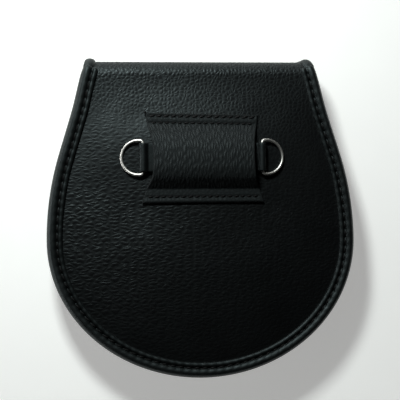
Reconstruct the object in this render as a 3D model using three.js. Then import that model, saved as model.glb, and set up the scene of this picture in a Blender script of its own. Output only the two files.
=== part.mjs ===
// A leather sporran pouch, lying on its front with its back up.
// X runs across the pouch, +Y towards its top fold and +Z up, away from the surface that it lies on.
import * as THREE from "three";

const { degToRad, lerp, smoothstep } = THREE.MathUtils;

// Driving dimensions, in millimetres.
// An outline is a half ellipse below its widest line, an arc above it and a straight shoulder to the fold.
const BACK = { halfWidth: 100, widestY: -14.4, bottomDepth: 89, shoulderRadius: 190 };
const FLAP = { halfWidth: 97, widestY: -8.4, bottomDepth: 45, shoulderRadius: 190 };
const SHOULDER_SLOPE = degToRad(17);
const GAP = 0.3;

// The back panel and the flap are one sheet, folded over the top of the pouch.
const SHEET_THICKNESS = 2;
const BACK_INSET = 3.6;
const FLAP_INSET = 2.2;
const RIM_Z = 30;
const FOLD_Y = 101.6;
const FOLD_UPPER_RADIUS = 9;
const FOLD_LOWER_RADIUS = 8;
const CROWN = 5;
const CROWN_FLAT_TO_Y = 44;
const FLAT_REACH = 0.62;
const LIFTED_REACH = 0.84;
const COLUMNS = [-1, -0.9, -0.75, -0.5, -0.25, 0, 0.25, 0.5, 0.75, 0.9, 1];

// Folded leather strips bind the edges. Above and below are heights over the sheet's outer face.
const BACK_BINDING = { width: 10, roll: 4.2, above: 1.85, below: -6.2, wall: 1.5, under: 8 };
const FLAP_BINDING = { width: 6.5, roll: 2.6, above: 1.45, below: -3.45, wall: 1.15, under: 6.2 };
const LIP_BUMP = 0.35;
const BINDINGS_MEET_AT = 96.6;
const BINDINGS_APART = 0.8;

// The gusset joins the back's seam to the front panel's. Its section is a line of (inset, height) points.
const GUSSET_THICKNESS = 1.8;
const GUSSET_SECTION = [
  { inset: 3.4, z: 26.8 },
  { inset: 8.4, z: 26.8 },
  { inset: 10.2, z: 25.2 },
  { inset: 9.6, z: 17.5 },
  { inset: 10.2, z: 10.4 },
  { inset: 8.4, z: 8.8 },
  { inset: 4.0, z: 8.8 },
];
const GUSSET_TOP_Y = 92.6;

const FRONT = { inset: 4, outerZ: 5.6, thickness: 2, topY: 85.6, topDip: 5 };
const STUD = { radius: 6, y: -25, neck: 3.5 };

// The belt loop: a strip sewn down along its upper and lower edges, standing up in an arch between them.
const LOOP_THICKNESS = 1.7;
const LOOP_SLANT = degToRad(1.1);
const LOOP_PROFILE = [
  { y: 66.4, rise: 0, halfWidth: 36.4 },
  { y: 59.6, rise: 0, halfWidth: 35.6 },
  { y: 55.6, rise: 2, halfWidth: 34.5 },
  { y: 49.6, rise: 5.6, halfWidth: 33.2 },
  { y: 43.1, rise: 7.9, halfWidth: 32.6 },
  { y: 36.6, rise: 8.8, halfWidth: 32.5 },
  { y: 30.6, rise: 8.8, halfWidth: 32.7 },
  { y: 25.6, rise: 7.3, halfWidth: 33.4 },
  { y: 21.4, rise: 3.2, halfWidth: 35.0 },
  { y: 18.0, rise: 0, halfWidth: 36.6 },
  { y: 9.1, rise: 0, halfWidth: 39.5 },
];
const LOOP_ROWS = 20;
const LOOP_COLUMNS = [-1, -0.6, -0.2, 0.2, 0.6, 1];

// A strap runs through the belt loop and folds round the straight bar of a D-ring at each end.
const STRAP = { width: 18.2, thickness: 1.3, gap: 0.5, levelTo: 12, doubledFrom: 22, doubledTo: 31 };
const RING = { y: 38.2, barX: 38.5, wire: 1.9, radius: 11, arcX: 3, corner: 2, play: 0.3 };
const RING_STEPS = 46;
const WIRE_SIDES = 8;

// Leather that is pebbled, leather that is smooth, and bright plated wire.
const pebbled = () => new THREE.MeshStandardMaterial({ color: "#1e2021", roughness: 0.5, metalness: 0 });
const smooth = () => new THREE.MeshStandardMaterial({ color: "#17181a", roughness: 0.42, metalness: 0 });
const plated = () => new THREE.MeshStandardMaterial({ color: "#d8dadc", roughness: 0.15, metalness: 1 });

// An outline moved in by a distance: its half width at any height, its lowest point and its sizes.
function outline(shape, inset = 0) {
  const radius = shape.shoulderRadius - inset;
  const arcX = shape.halfWidth - shape.shoulderRadius;
  const straightY = shape.widestY + radius * Math.sin(SHOULDER_SLOPE);
  const straightX = arcX + radius * Math.cos(SHOULDER_SLOPE);
  const across = shape.halfWidth - inset;
  const down = shape.bottomDepth - inset;
  const halfWidthAt = (y) => {
    const below = (y - shape.widestY) / down;
    if (y < shape.widestY) return across * Math.sqrt(Math.max(0, 1 - below * below));
    if (y > straightY) return straightX - (y - straightY) * Math.tan(SHOULDER_SLOPE);
    return arcX + Math.sqrt(radius * radius - (y - shape.widestY) ** 2);
  };
  return { across, down, widestY: shape.widestY, bottomY: shape.widestY - down, halfWidthAt };
}

// Heights from an outline's lowest point up to a given height, closer together where the outline turns.
function heights(edge, topY, below, above) {
  const list = [];
  for (let i = 0; i <= below; i++) {
    list.push(edge.widestY - edge.down * Math.cos((i / below) * (Math.PI / 2)));
  }
  for (let i = 1; i <= above; i++) list.push(lerp(edge.widestY, topY, i / above));
  return list;
}

// How full the back is at a point, from 0 at its binding and its fold to 1 in the middle.
function fullness(x, y) {
  const edge = outline(BACK, BACK_BINDING.width);
  if (y < edge.widestY) {
    const down = (y - edge.widestY) / edge.down;
    return Math.max(0, 1 - (x / edge.across) ** 2 - down * down);
  }
  const across = Math.max(0, 1 - (x / edge.halfWidthAt(y)) ** 2);
  return across * (1 - smoothstep(y, CROWN_FLAT_TO_Y, FOLD_Y - FOLD_UPPER_RADIUS));
}

const backZ = (x, y) => RIM_Z + CROWN * fullness(x, y);

// Lengths along the sheet, measured over its outer face: up the back, over the fold and down the flap.
const UPPER_START = FOLD_Y - FOLD_UPPER_RADIUS;
const UPPER_END = UPPER_START + (FOLD_UPPER_RADIUS * Math.PI) / 2;
const LOWER_START = UPPER_END + RIM_Z - FOLD_UPPER_RADIUS - FOLD_LOWER_RADIUS;
const LOWER_END = LOWER_START + (FOLD_LOWER_RADIUS * Math.PI) / 2;
const flapLength = (y) => LOWER_END + (FOLD_Y - FOLD_LOWER_RADIUS - y);
const FOLD_SHARES = [0, 0.2, 0.4, 0.6, 0.8, 1];
const UPPER_TURNS = FOLD_SHARES.map((share) => lerp(UPPER_START, UPPER_END, share));
const LOWER_TURNS = FOLD_SHARES.map((share) => lerp(LOWER_START, LOWER_END, share));

// Where a length along the sheet lies, and which way its outer face looks there.
function along(length) {
  if (length <= UPPER_START) return { y: length, z: RIM_Z, normal: [0, 1] };
  if (length < UPPER_END) {
    const turn = (length - UPPER_START) / FOLD_UPPER_RADIUS;
    const normal = [Math.sin(turn), Math.cos(turn)];
    const y = UPPER_START + FOLD_UPPER_RADIUS * normal[0];
    return { y, z: RIM_Z - FOLD_UPPER_RADIUS * (1 - normal[1]), normal };
  }
  if (length <= LOWER_START) {
    return { y: FOLD_Y, z: RIM_Z - FOLD_UPPER_RADIUS - (length - UPPER_END), normal: [1, 0] };
  }
  if (length < LOWER_END) {
    const turn = (length - LOWER_START) / FOLD_LOWER_RADIUS;
    const normal = [Math.cos(turn), -Math.sin(turn)];
    const y = FOLD_Y - FOLD_LOWER_RADIUS * (1 - normal[0]);
    return { y, z: FOLD_LOWER_RADIUS * (1 + normal[1]), normal };
  }
  return { y: FOLD_Y - FOLD_LOWER_RADIUS - (length - LOWER_END), z: 0, normal: [0, -1] };
}

// A point over the sheet's outer face. The flap's bound edges are lifted by their binding.
function overSheet(x, length, height, lifted = 1) {
  const { y, z, normal } = along(length);
  const lift = (FLAP_BINDING.above + LIP_BUMP) * smoothstep(length, LOWER_START, LOWER_END) * lifted;
  const out = height - lift;
  return new THREE.Vector3(x, y + normal[0] * out, z + normal[1] * out);
}

// How far the flap has risen to its bound edge: 0 over its flat middle, 1 under the binding.
// Its reach is 0 at the flap's middle and 1 at its edge.
function liftedShare(x, y) {
  const edge = outline(FLAP, FLAP_INSET);
  const down = (y - edge.widestY) / edge.down;
  const reach = y < edge.widestY ? Math.hypot(x / edge.across, down) : Math.abs(x) / edge.halfWidthAt(y);
  return smoothstep(reach, FLAT_REACH, LIFTED_REACH);
}

// A closed mesh between two grids of points: the two faces, and the rim that joins them.
function skin(outer, inner) {
  const corners = [];
  const triangle = (a, b, c) => {
    if (a.distanceTo(b) > 1e-4 && b.distanceTo(c) > 1e-4 && c.distanceTo(a) > 1e-4) corners.push(a, b, c);
  };
  const quad = (a, b, c, d) => {
    triangle(a, b, c);
    triangle(a, c, d);
  };
  const rows = outer.length - 1;
  const columns = outer[0].length - 1;
  for (let i = 0; i < rows; i++) {
    for (let j = 0; j < columns; j++) {
      quad(outer[i][j], outer[i][j + 1], outer[i + 1][j + 1], outer[i + 1][j]);
      quad(inner[i][j], inner[i + 1][j], inner[i + 1][j + 1], inner[i][j + 1]);
    }
    quad(outer[i][0], outer[i + 1][0], inner[i + 1][0], inner[i][0]);
    quad(outer[i][columns], inner[i][columns], inner[i + 1][columns], outer[i + 1][columns]);
  }
  for (let j = 0; j < columns; j++) {
    quad(outer[0][j], inner[0][j], inner[0][j + 1], outer[0][j + 1]);
    quad(outer[rows][j], outer[rows][j + 1], inner[rows][j + 1], inner[rows][j]);
  }
  return facingOut(corners);
}

// Geometry from a list of triangle corners, turned so that its faces look outwards.
function facingOut(corners) {
  let volume = 0;
  for (let i = 0; i < corners.length; i += 3) {
    volume += corners[i].dot(new THREE.Vector3().crossVectors(corners[i + 1], corners[i + 2]));
  }
  const order = volume < 0 ? corners.slice().reverse() : corners;
  return new THREE.BufferGeometry().setFromPoints(order);
}

// The two faces of a strip: a line of points moved half the strip's thickness to each side.
function bothFaces(line, thickness) {
  const face = (side) =>
    line.map((point, i) => {
      const before = line[Math.max(i - 1, 0)];
      const after = line[Math.min(i + 1, line.length - 1)];
      const run = after.clone().sub(before).normalize();
      const step = (side * thickness) / 2;
      return new THREE.Vector2(point.x - run.y * step, point.y + run.x * step);
    });
  return [face(1), face(-1)];
}

// The section of a folded binding, as (distance in from the edge, height over the sheet) points.
function bindingSection({ width, roll, above, below, wall, under }) {
  const middle = (above + below) / 2;
  const tall = (above - below) / 2;
  const outer = [
    [width, above - wall * 0.6],
    [width - 0.9, above + LIP_BUMP * 0.6],
    [(width + roll) / 2 + 0.6, above + LIP_BUMP],
    [roll + 1.2, above - LIP_BUMP * 0.5],
  ];
  const inner = outer.map(([u]) => [u, above - wall]);
  const turns = 6;
  for (let i = 0; i <= turns; i++) {
    const turn = (i / turns) * Math.PI;
    outer.push([roll * (1 - Math.sin(turn)), middle + tall * Math.cos(turn)]);
    inner.push([
      roll - (roll - wall) * Math.sin(turn),
      middle + (tall - wall) * Math.cos(turn),
    ]);
  }
  outer.push([under, below]);
  inner.push([under, below + wall]);
  return { outer, inner };
}

// Each point of a mirrored edge with the direction that leads in from it.
function stations(points, centre) {
  return points.map((point, i) => {
    const before = points[Math.max(i - 1, 0)];
    const after = points[Math.min(i + 1, points.length - 1)];
    const run = after.clone().sub(before).normalize();
    const inward = new THREE.Vector2(-run.y, run.x);
    if (inward.dot(centre.clone().sub(point)) < 0) inward.negate();
    return { point, inward };
  });
}

// A right-hand edge and its mirror image, joined at the edge's last point, which is on the centre line.
function mirrored(half) {
  const left = half.slice(0, -1).reverse();
  return [...half, ...left.map((p) => new THREE.Vector2(-p.x, p.y))];
}

// The back panel and flap, as rows from the bottom of the back round to the end of the flap.
function backAndFlap() {
  const back = outline(BACK, BACK_INSET);
  const flap = outline(FLAP, FLAP_INSET);
  const rows = heights(back, UPPER_START, 7, 9).map((y) => ({ length: y, half: back.halfWidthAt(y) }));
  for (const length of UPPER_TURNS.slice(1)) rows.push({ length, half: back.halfWidthAt(along(length).y) });
  for (const length of LOWER_TURNS) rows.push({ length, half: flap.halfWidthAt(along(length).y) });
  for (const y of heights(flap, FOLD_Y - FOLD_LOWER_RADIUS, 7, 7).reverse().slice(1)) {
    rows.push({ length: flapLength(y), half: flap.halfWidthAt(y) });
  }
  const face = (height) =>
    rows.map(({ length, half }) =>
      COLUMNS.map((share) => {
        const x = share * half;
        const y = along(length).y;
        const crown = length < UPPER_START ? CROWN * fullness(x, y) : 0;
        return overSheet(x, length, height + crown, liftedShare(x, y));
      }),
    );
  return skin(face(0), face(-SHEET_THICKNESS));
}

// A binding swept along an edge that lies in the sheet.
function binding(half, centre, sizes) {
  const { outer, inner } = bindingSection(sizes);
  const edge = stations(mirrored(half), centre);
  const swept = (section) =>
    edge.map(({ point, inward }) =>
      section.map(([u, height]) => overSheet(point.x + inward.x * u, point.y + inward.y * u, height)),
    );
  return skin(swept(outer), swept(inner));
}

function backBinding() {
  const edge = outline(BACK);
  const ends = [BINDINGS_MEET_AT, ...UPPER_TURNS.filter((turn) => turn < BINDINGS_MEET_AT).reverse()];
  const lengths = [...ends, ...heights(edge, UPPER_START, 10, 7).reverse().slice(1)];
  const half = lengths.map((length) => new THREE.Vector2(edge.halfWidthAt(along(length).y), length));
  return binding(half, new THREE.Vector2(0, BACK.widestY), BACK_BINDING);
}

function flapBinding() {
  const back = outline(BACK);
  const flap = outline(FLAP);
  const half = [];
  const starts = BINDINGS_MEET_AT + BINDINGS_APART;
  for (const length of [starts, ...UPPER_TURNS.filter((turn) => turn > starts)]) {
    half.push(new THREE.Vector2(back.halfWidthAt(along(length).y), length));
  }
  for (const length of LOWER_TURNS) {
    half.push(new THREE.Vector2(flap.halfWidthAt(along(length).y), length));
  }
  for (const y of heights(flap, FOLD_Y - FOLD_LOWER_RADIUS, 9, 6).reverse().slice(1)) {
    half.push(new THREE.Vector2(flap.halfWidthAt(y), flapLength(y)));
  }
  return binding(half, new THREE.Vector2(0, flapLength(FLAP.widestY)), FLAP_BINDING);
}

function gusset() {
  const edge = outline(BACK);
  const half = heights(edge, GUSSET_TOP_Y, 9, 7).reverse();
  const path = mirrored(half.map((y) => new THREE.Vector2(edge.halfWidthAt(y), y)));
  const line = GUSSET_SECTION.map(({ inset, z }) => new THREE.Vector2(inset, z));
  const [outer, inner] = bothFaces(line, GUSSET_THICKNESS);
  const swept = (section) =>
    stations(path, new THREE.Vector2(0, BACK.widestY)).map(({ point, inward }) =>
      section.map(({ x: inset, y: z }) =>
        new THREE.Vector3(point.x + inward.x * inset, point.y + inward.y * inset, z),
      ),
    );
  return skin(swept(outer), swept(inner));
}

function frontPanel() {
  const edge = outline(BACK, FRONT.inset);
  const rows = heights(edge, FRONT.topY, 12, 7);
  const columns = COLUMNS.filter((share, i) => i % 2 === 0);
  const face = (z) =>
    rows.map((y) =>
      columns.map((share) => {
        const x = share * edge.halfWidthAt(y);
        const dip = FRONT.topDip * Math.max(0, (y - edge.widestY) / (FRONT.topY - edge.widestY)) ** 4;
        return new THREE.Vector3(x, y - dip * (1 - share * share), z);
      }),
    );
  return skin(face(FRONT.outerZ), face(FRONT.outerZ + FRONT.thickness));
}

// The two halves of the press stud, closed, between the flap and the front panel.
function pressStud() {
  const low = SHEET_THICKNESS + GAP;
  const high = FRONT.outerZ - GAP;
  const middle = (low + high) / 2;
  const profile = [
    [0, low],
    [STUD.radius, low],
    [STUD.radius, middle],
    [STUD.neck, middle + 0.3],
    [STUD.neck, high - 0.5],
    [STUD.radius - 1, high - 0.5],
    [STUD.radius - 1, high],
    [0, high],
  ];
  const turned = new THREE.LatheGeometry(profile.map(([r, z]) => new THREE.Vector2(r, z)), 20);
  return turned.rotateX(Math.PI / 2);
}

function beltLoop() {
  const curve = new THREE.CatmullRomCurve3(
    LOOP_PROFILE.map(({ y, rise, halfWidth }) => new THREE.Vector3(y, rise, halfWidth)),
    false,
    "centripetal",
  );
  const samples = curve.getPoints(LOOP_ROWS);
  const lowest = LOOP_THICKNESS / 2 + GAP;
  const line = samples.map(({ x: y, y: rise }) => new THREE.Vector2(y, Math.max(0, rise) + lowest));
  const top = LOOP_PROFILE[0].y;
  const bottom = LOOP_PROFILE[LOOP_PROFILE.length - 1].y;
  const [under, over] = bothFaces(line, LOOP_THICKNESS);
  const face = (section) =>
    section.map(({ x: y, y: rise }, i) =>
      LOOP_COLUMNS.map((share) => {
        const x = share * samples[i].z;
        const slanted = y - x * Math.tan(LOOP_SLANT) * ((y - bottom) / (top - bottom));
        return new THREE.Vector3(x, slanted, backZ(x, slanted) + rise);
      }),
    );
  return skin(face(over), face(under));
}

const loopOuterRadius = RING.wire / 2 + RING.play + STRAP.thickness;
const barZ = backZ(RING.barX, RING.y) + STRAP.gap + loopOuterRadius;

function ringStrap() {
  const bottom = (x) => backZ(x, RING.y) + STRAP.gap;
  const single = (x) => bottom(x) + STRAP.thickness;
  const doubled = (x) => bottom(x) + 2 * STRAP.thickness + 0.1;
  const shape = new THREE.Shape();
  shape.moveTo(0, bottom(0));
  shape.lineTo(STRAP.levelTo, bottom(0));
  shape.lineTo(STRAP.doubledFrom, bottom(STRAP.doubledFrom));
  shape.lineTo(STRAP.doubledTo, bottom(STRAP.doubledTo));
  shape.absarc(RING.barX, barZ, loopOuterRadius, -Math.PI / 2, Math.PI / 2 + 0.5, false);
  shape.lineTo(STRAP.doubledTo + 1.5, doubled(STRAP.doubledTo) + 0.35);
  shape.lineTo(STRAP.doubledTo, doubled(STRAP.doubledTo));
  shape.lineTo(STRAP.doubledFrom, doubled(STRAP.doubledFrom));
  shape.lineTo(STRAP.doubledFrom - 2, single(STRAP.doubledFrom - 2));
  shape.lineTo(STRAP.levelTo, single(0));
  shape.lineTo(0, single(0));
  const right = shape.getPoints(10);
  const left = right.slice(1, -1).reverse().map((p) => new THREE.Vector2(-p.x, p.y));
  const whole = new THREE.Shape([...right, ...left]);
  for (const barX of [-RING.barX, RING.barX]) {
    whole.holes.push(new THREE.Path().absarc(barX, barZ, RING.wire / 2 + RING.play, 0, 2 * Math.PI));
  }
  const options = { depth: STRAP.width, bevelEnabled: false, curveSegments: 8 };
  const strip = new THREE.ExtrudeGeometry(whole, options);
  return strip.rotateX(Math.PI / 2).translate(0, STRAP.width / 2, 0);
}

// A D-ring with its bar on the Y axis and its bow towards +X.
function ring() {
  const within = RING.radius - RING.corner;
  const cornerY = Math.sqrt(within ** 2 - (RING.arcX - RING.corner) ** 2);
  const meets = Math.atan2(cornerY, RING.corner - RING.arcX);
  const wire = new THREE.Path();
  wire.moveTo(0, 0);
  wire.lineTo(0, cornerY);
  wire.absarc(RING.corner, cornerY, RING.corner, Math.PI, meets, true);
  wire.absarc(RING.arcX, 0, RING.radius, meets, -meets, true);
  wire.absarc(RING.corner, -cornerY, RING.corner, -meets, -Math.PI, true);
  wire.lineTo(0, 0);
  const points = wire.getSpacedPoints(RING_STEPS).slice(0, -1);
  const circles = points.map((point, i) => {
    const before = points[(i + points.length - 1) % points.length];
    const after = points[(i + 1) % points.length];
    const run = after.clone().sub(before).normalize();
    return Array.from({ length: WIRE_SIDES }, (_, k) => {
      const turn = ((k + 0.5) / WIRE_SIDES) * 2 * Math.PI;
      const out = (RING.wire / 2) * Math.cos(turn);
      const up = (RING.wire / 2) * Math.sin(turn);
      return new THREE.Vector3(point.x - run.y * out, point.y + run.x * out, up);
    });
  });
  const corners = [];
  circles.forEach((circle, i) => {
    const next = circles[(i + 1) % circles.length];
    circle.forEach((a, k) => {
      const b = circle[(k + 1) % WIRE_SIDES];
      const c = next[(k + 1) % WIRE_SIDES];
      corners.push(a, b, c, a, c, next[k]);
    });
  });
  return facingOut(corners);
}

// How far a D-ring dips from level as it lies with its bow on the back.
function ringDip() {
  const bowX = RING.arcX + RING.radius;
  const restsAt = backZ(RING.barX + bowX, RING.y) + GAP + RING.wire / 2;
  return Math.asin((barZ - restsAt) / bowX);
}

const pouch = new THREE.Group();

function add(name, geometry, material, x = 0, y = 0, z = 0) {
  const mesh = new THREE.Mesh(geometry, material);
  mesh.name = name;
  mesh.position.set(x, y, z);
  pouch.add(mesh);
  return mesh;
}

add("back_and_flap", backAndFlap(), pebbled());
add("back_binding", backBinding(), smooth());
add("flap_binding", flapBinding(), smooth());
add("gusset", gusset(), pebbled());
add("front_panel", frontPanel(), pebbled());
add("press_stud", pressStud(), plated(), 0, STUD.y, 0);
add("belt_loop", beltLoop(), pebbled());
add("ring_strap", ringStrap(), smooth(), 0, RING.y, 0);
add("ring_right", ring(), plated(), RING.barX, RING.y, barZ).rotation.y = ringDip();
add("ring_left", ring(), plated(), -RING.barX, RING.y, barZ).rotation.set(0, -ringDip(), Math.PI);

export default pouch;
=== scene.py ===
"""The looks of a black leather sporran pouch that lies on its front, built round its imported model.

One folded sheet makes the back and the flap, and a gusset joins it to the front panel. Folded strips bind
the edges. A belt loop is sewn to the back, and a strap through it holds a D-ring at each side.
Sizes are in millimetres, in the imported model's frame; meshes are made in metres.
"""

import logging  # noqa: E402
import math  # noqa: E402
from dataclasses import dataclass, field, replace  # noqa: E402
from enum import Enum  # noqa: E402

import bmesh  # noqa: E402
import bpy  # noqa: E402
import numpy as np  # noqa: E402
from mathutils import Matrix, Vector  # noqa: E402


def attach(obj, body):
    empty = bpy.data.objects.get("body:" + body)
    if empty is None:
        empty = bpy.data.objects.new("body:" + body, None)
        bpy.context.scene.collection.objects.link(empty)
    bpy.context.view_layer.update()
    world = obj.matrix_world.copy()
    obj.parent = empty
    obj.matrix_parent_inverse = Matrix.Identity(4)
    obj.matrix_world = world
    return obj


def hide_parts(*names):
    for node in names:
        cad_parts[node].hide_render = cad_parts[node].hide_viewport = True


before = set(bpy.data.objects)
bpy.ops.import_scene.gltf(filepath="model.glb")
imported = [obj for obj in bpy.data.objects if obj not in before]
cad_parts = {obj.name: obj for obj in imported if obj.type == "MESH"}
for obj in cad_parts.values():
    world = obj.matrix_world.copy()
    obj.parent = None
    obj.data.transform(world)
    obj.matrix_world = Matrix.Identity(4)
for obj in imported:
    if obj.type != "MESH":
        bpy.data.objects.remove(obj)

LOG = logging.getLogger("sporran")
MM = 0.001
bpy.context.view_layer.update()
POUCH = "pouch"


class Slot(Enum):
    """The record's material slots."""

    PEBBLED = "pebbled_leather"
    SMOOTH = "smooth_leather"
    PLATED = "plated_steel"
    THREAD = "waxed_thread"


class Side(Enum):
    """The two sides of the pouch, as its back is looked at."""

    LEFT = -1
    RIGHT = 1


# ------------------------------------------------------------ colour and nodes


def linear(code: str) -> tuple[float, float, float, float]:
    """Turns an sRGB hex colour into linear light.

    Args:
        code: The colour as "#rrggbb".

    Returns:
        Linear red, green and blue, and an alpha of 1.
    """
    shares = [int(code[i : i + 2], 16) / 255 for i in (1, 3, 5)]
    r, g, b = (s / 12.92 if s <= 0.04045 else ((s + 0.055) / 1.055) ** 2.4 for s in shares)
    return (r, g, b, 1.0)


def add(
    tree: bpy.types.NodeTree,
    kind: str,
    settings: dict[str, object] | None = None,
    inputs: dict[str | int, object] | None = None,
) -> bpy.types.Node:
    """Adds a node to a tree.

    Args:
        tree: The tree that the node goes into.
        kind: The node's type.
        settings: Properties of the node, by name.
        inputs: A socket to link from, or a value to set, for inputs by name or index.

    Returns:
        The node.
    """
    node = tree.nodes.new(kind)
    for name, value in (settings or {}).items():
        setattr(node, name, value)
    for key, value in (inputs or {}).items():
        if isinstance(value, bpy.types.NodeSocket):
            tree.links.new(value, node.inputs[key])
        else:
            node.inputs[key].default_value = value
    return node


# ------------------------------------------------------------ finishes


@dataclass(frozen=True)
class PebbleGrain:
    """The grain of drum-milled hide: pebbles with narrow creases, or ripples where it was pulled.

    Its pattern is read on the flat leather, in millimetres, and serves both the mesh and the finish.
    """

    pebble_mm: float = 2.6
    ripple_mm: tuple[float, float] = (5.8, 2.2)
    wander_mm: float = 1.5
    wander_scale: float = 0.21
    crease_share: float = 0.34
    randomness: float = 0.92
    width_share: float = 0.92
    dome: float = 0.75
    sunk_share: float = 0.7
    depth_mm: float = 0.14

    def cells(
        self, tree: bpy.types.NodeTree, where: bpy.types.NodeSocket, size: tuple[float, float]
    ) -> bpy.types.NodeSocket:
        """Draws one net of pebbles.

        Args:
            tree: A material's or a modifier's tree.
            where: The place on the flat leather.
            size: A pebble's length and width.

        Returns:
            The socket of the height, 0 in a crease and up to 1 on a pebble.
        """
        placed = add(
            tree,
            "ShaderNodeVectorMath",
            {"operation": "MULTIPLY"},
            {0: where, 1: (1 / size[0], 1 / size[1], 0)},
        ).outputs[0]
        edge = add(
            tree,
            "ShaderNodeTexVoronoi",
            {"voronoi_dimensions": "2D", "feature": "DISTANCE_TO_EDGE"},
            {"Vector": placed, "Scale": 1.0, "Randomness": self.randomness},
        )
        middle = add(
            tree,
            "ShaderNodeTexVoronoi",
            {"voronoi_dimensions": "2D", "feature": "F1"},
            {"Vector": placed, "Scale": 1.0, "Randomness": self.randomness},
        )
        crease = add(
            tree,
            "ShaderNodeMapRange",
            {"interpolation_type": "SMOOTHSTEP"},
            {0: edge.outputs["Distance"], 2: self.crease_share},
        ).outputs[0]
        dome = add(
            tree,
            "ShaderNodeMath",
            {"operation": "MULTIPLY_ADD"},
            {0: middle.outputs["Distance"], 1: -self.dome, 2: 1.0},
        ).outputs[0]
        return add(tree, "ShaderNodeMath", {"operation": "MULTIPLY"}, {0: crease, 1: dome}).outputs[0]

    def height(
        self, tree: bpy.types.NodeTree, where: bpy.types.NodeSocket, stretch: bpy.types.NodeSocket
    ) -> bpy.types.NodeSocket:
        """Draws the whole grain.

        Args:
            tree: A material's or a modifier's tree.
            where: The place on the flat leather.
            stretch: 0 for round pebbles and 1 for ripples.

        Returns:
            The socket of the height, from 0 to 1.
        """
        wander = add(
            tree,
            "ShaderNodeTexNoise",
            {"noise_dimensions": "2D"},
            {"Vector": where, "Scale": self.wander_scale, "Detail": 2.0},
        )
        moved = add(
            tree,
            "ShaderNodeVectorMath",
            {"operation": "MULTIPLY_ADD"},
            {0: wander.outputs["Color"], 1: (2 * self.wander_mm, 2 * self.wander_mm, 0), 2: where},
        ).outputs[0]
        pebbles = self.cells(tree, moved, (self.pebble_mm, self.pebble_mm * self.width_share))
        ripples = self.cells(tree, moved, self.ripple_mm)
        return add(
            tree, "ShaderNodeMix", {"data_type": "FLOAT"}, {0: stretch, 2: pebbles, 3: ripples}
        ).outputs[0]

    def emboss(self, piece: bpy.types.Object) -> None:
        """Presses the grain into a piece's mesh, where its relief attribute is above 0.

        Args:
            piece: The object whose mesh is changed.
        """
        tree = bpy.data.node_groups.new("grain", "GeometryNodeTree")
        tree.interface.new_socket("Mesh", in_out="INPUT", socket_type="NodeSocketGeometry")
        tree.interface.new_socket("Mesh", in_out="OUTPUT", socket_type="NodeSocketGeometry")
        start = add(tree, "NodeGroupInput")
        where = add(
            tree, "GeometryNodeInputNamedAttribute", {"data_type": "FLOAT_VECTOR"}, {"Name": "flat_mm"}
        )
        stretch = add(tree, "GeometryNodeInputNamedAttribute", {"data_type": "FLOAT"}, {"Name": "stretch"})
        relief = add(tree, "GeometryNodeInputNamedAttribute", {"data_type": "FLOAT"}, {"Name": "relief"})
        height = self.height(tree, where.outputs[0], stretch.outputs[0])
        lower = add(
            tree, "ShaderNodeMath", {"operation": "SUBTRACT"}, {0: height, 1: self.sunk_share}
        ).outputs[0]
        depth = add(
            tree, "ShaderNodeMath", {"operation": "MULTIPLY"}, {0: lower, 1: self.depth_mm * MM}
        ).outputs[0]
        masked = add(
            tree, "ShaderNodeMath", {"operation": "MULTIPLY"}, {0: depth, 1: relief.outputs[0]}
        ).outputs[0]
        normal = add(tree, "GeometryNodeInputNormal")
        offset = add(
            tree, "ShaderNodeVectorMath", {"operation": "SCALE"}, {0: normal.outputs[0], "Scale": masked}
        ).outputs[0]
        pressed = add(
            tree, "GeometryNodeSetPosition", {}, {"Geometry": start.outputs[0], "Offset": offset}
        ).outputs[0]
        add(tree, "NodeGroupOutput", {}, {0: pressed})
        modifier = piece.modifiers.new("grain", "NODES")
        modifier.node_group = tree
        bpy.context.view_layer.update()
        evaluated = piece.evaluated_get(bpy.context.evaluated_depsgraph_get())
        mesh = bpy.data.meshes.new_from_object(evaluated)
        piece.modifiers.clear()
        old = piece.data
        mesh.name = old.name + "_grained"
        piece.data = mesh
        bpy.data.meshes.remove(old)
        bpy.data.node_groups.remove(tree)


class Finish:
    """What the finishes share: each makes a material whose shader gets what the finish works out."""

    name: str

    def surface(self, tree: bpy.types.NodeTree) -> dict[str, object]:
        """Works out what the shader gets.

        Args:
            tree: The material's tree.

        Returns:
            The shader's inputs, by name.
        """
        raise NotImplementedError

    def material(self) -> bpy.types.Material:
        """Makes the finish.

        Returns:
            The material.
        """
        made = bpy.data.materials.new(self.name)
        made.use_nodes = True
        tree = made.node_tree
        tree.nodes.clear()
        shader = add(tree, "ShaderNodeBsdfPrincipled", {}, self.surface(tree))
        add(tree, "ShaderNodeOutputMaterial", {}, {"Surface": shader.outputs[0]})
        return made


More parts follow.
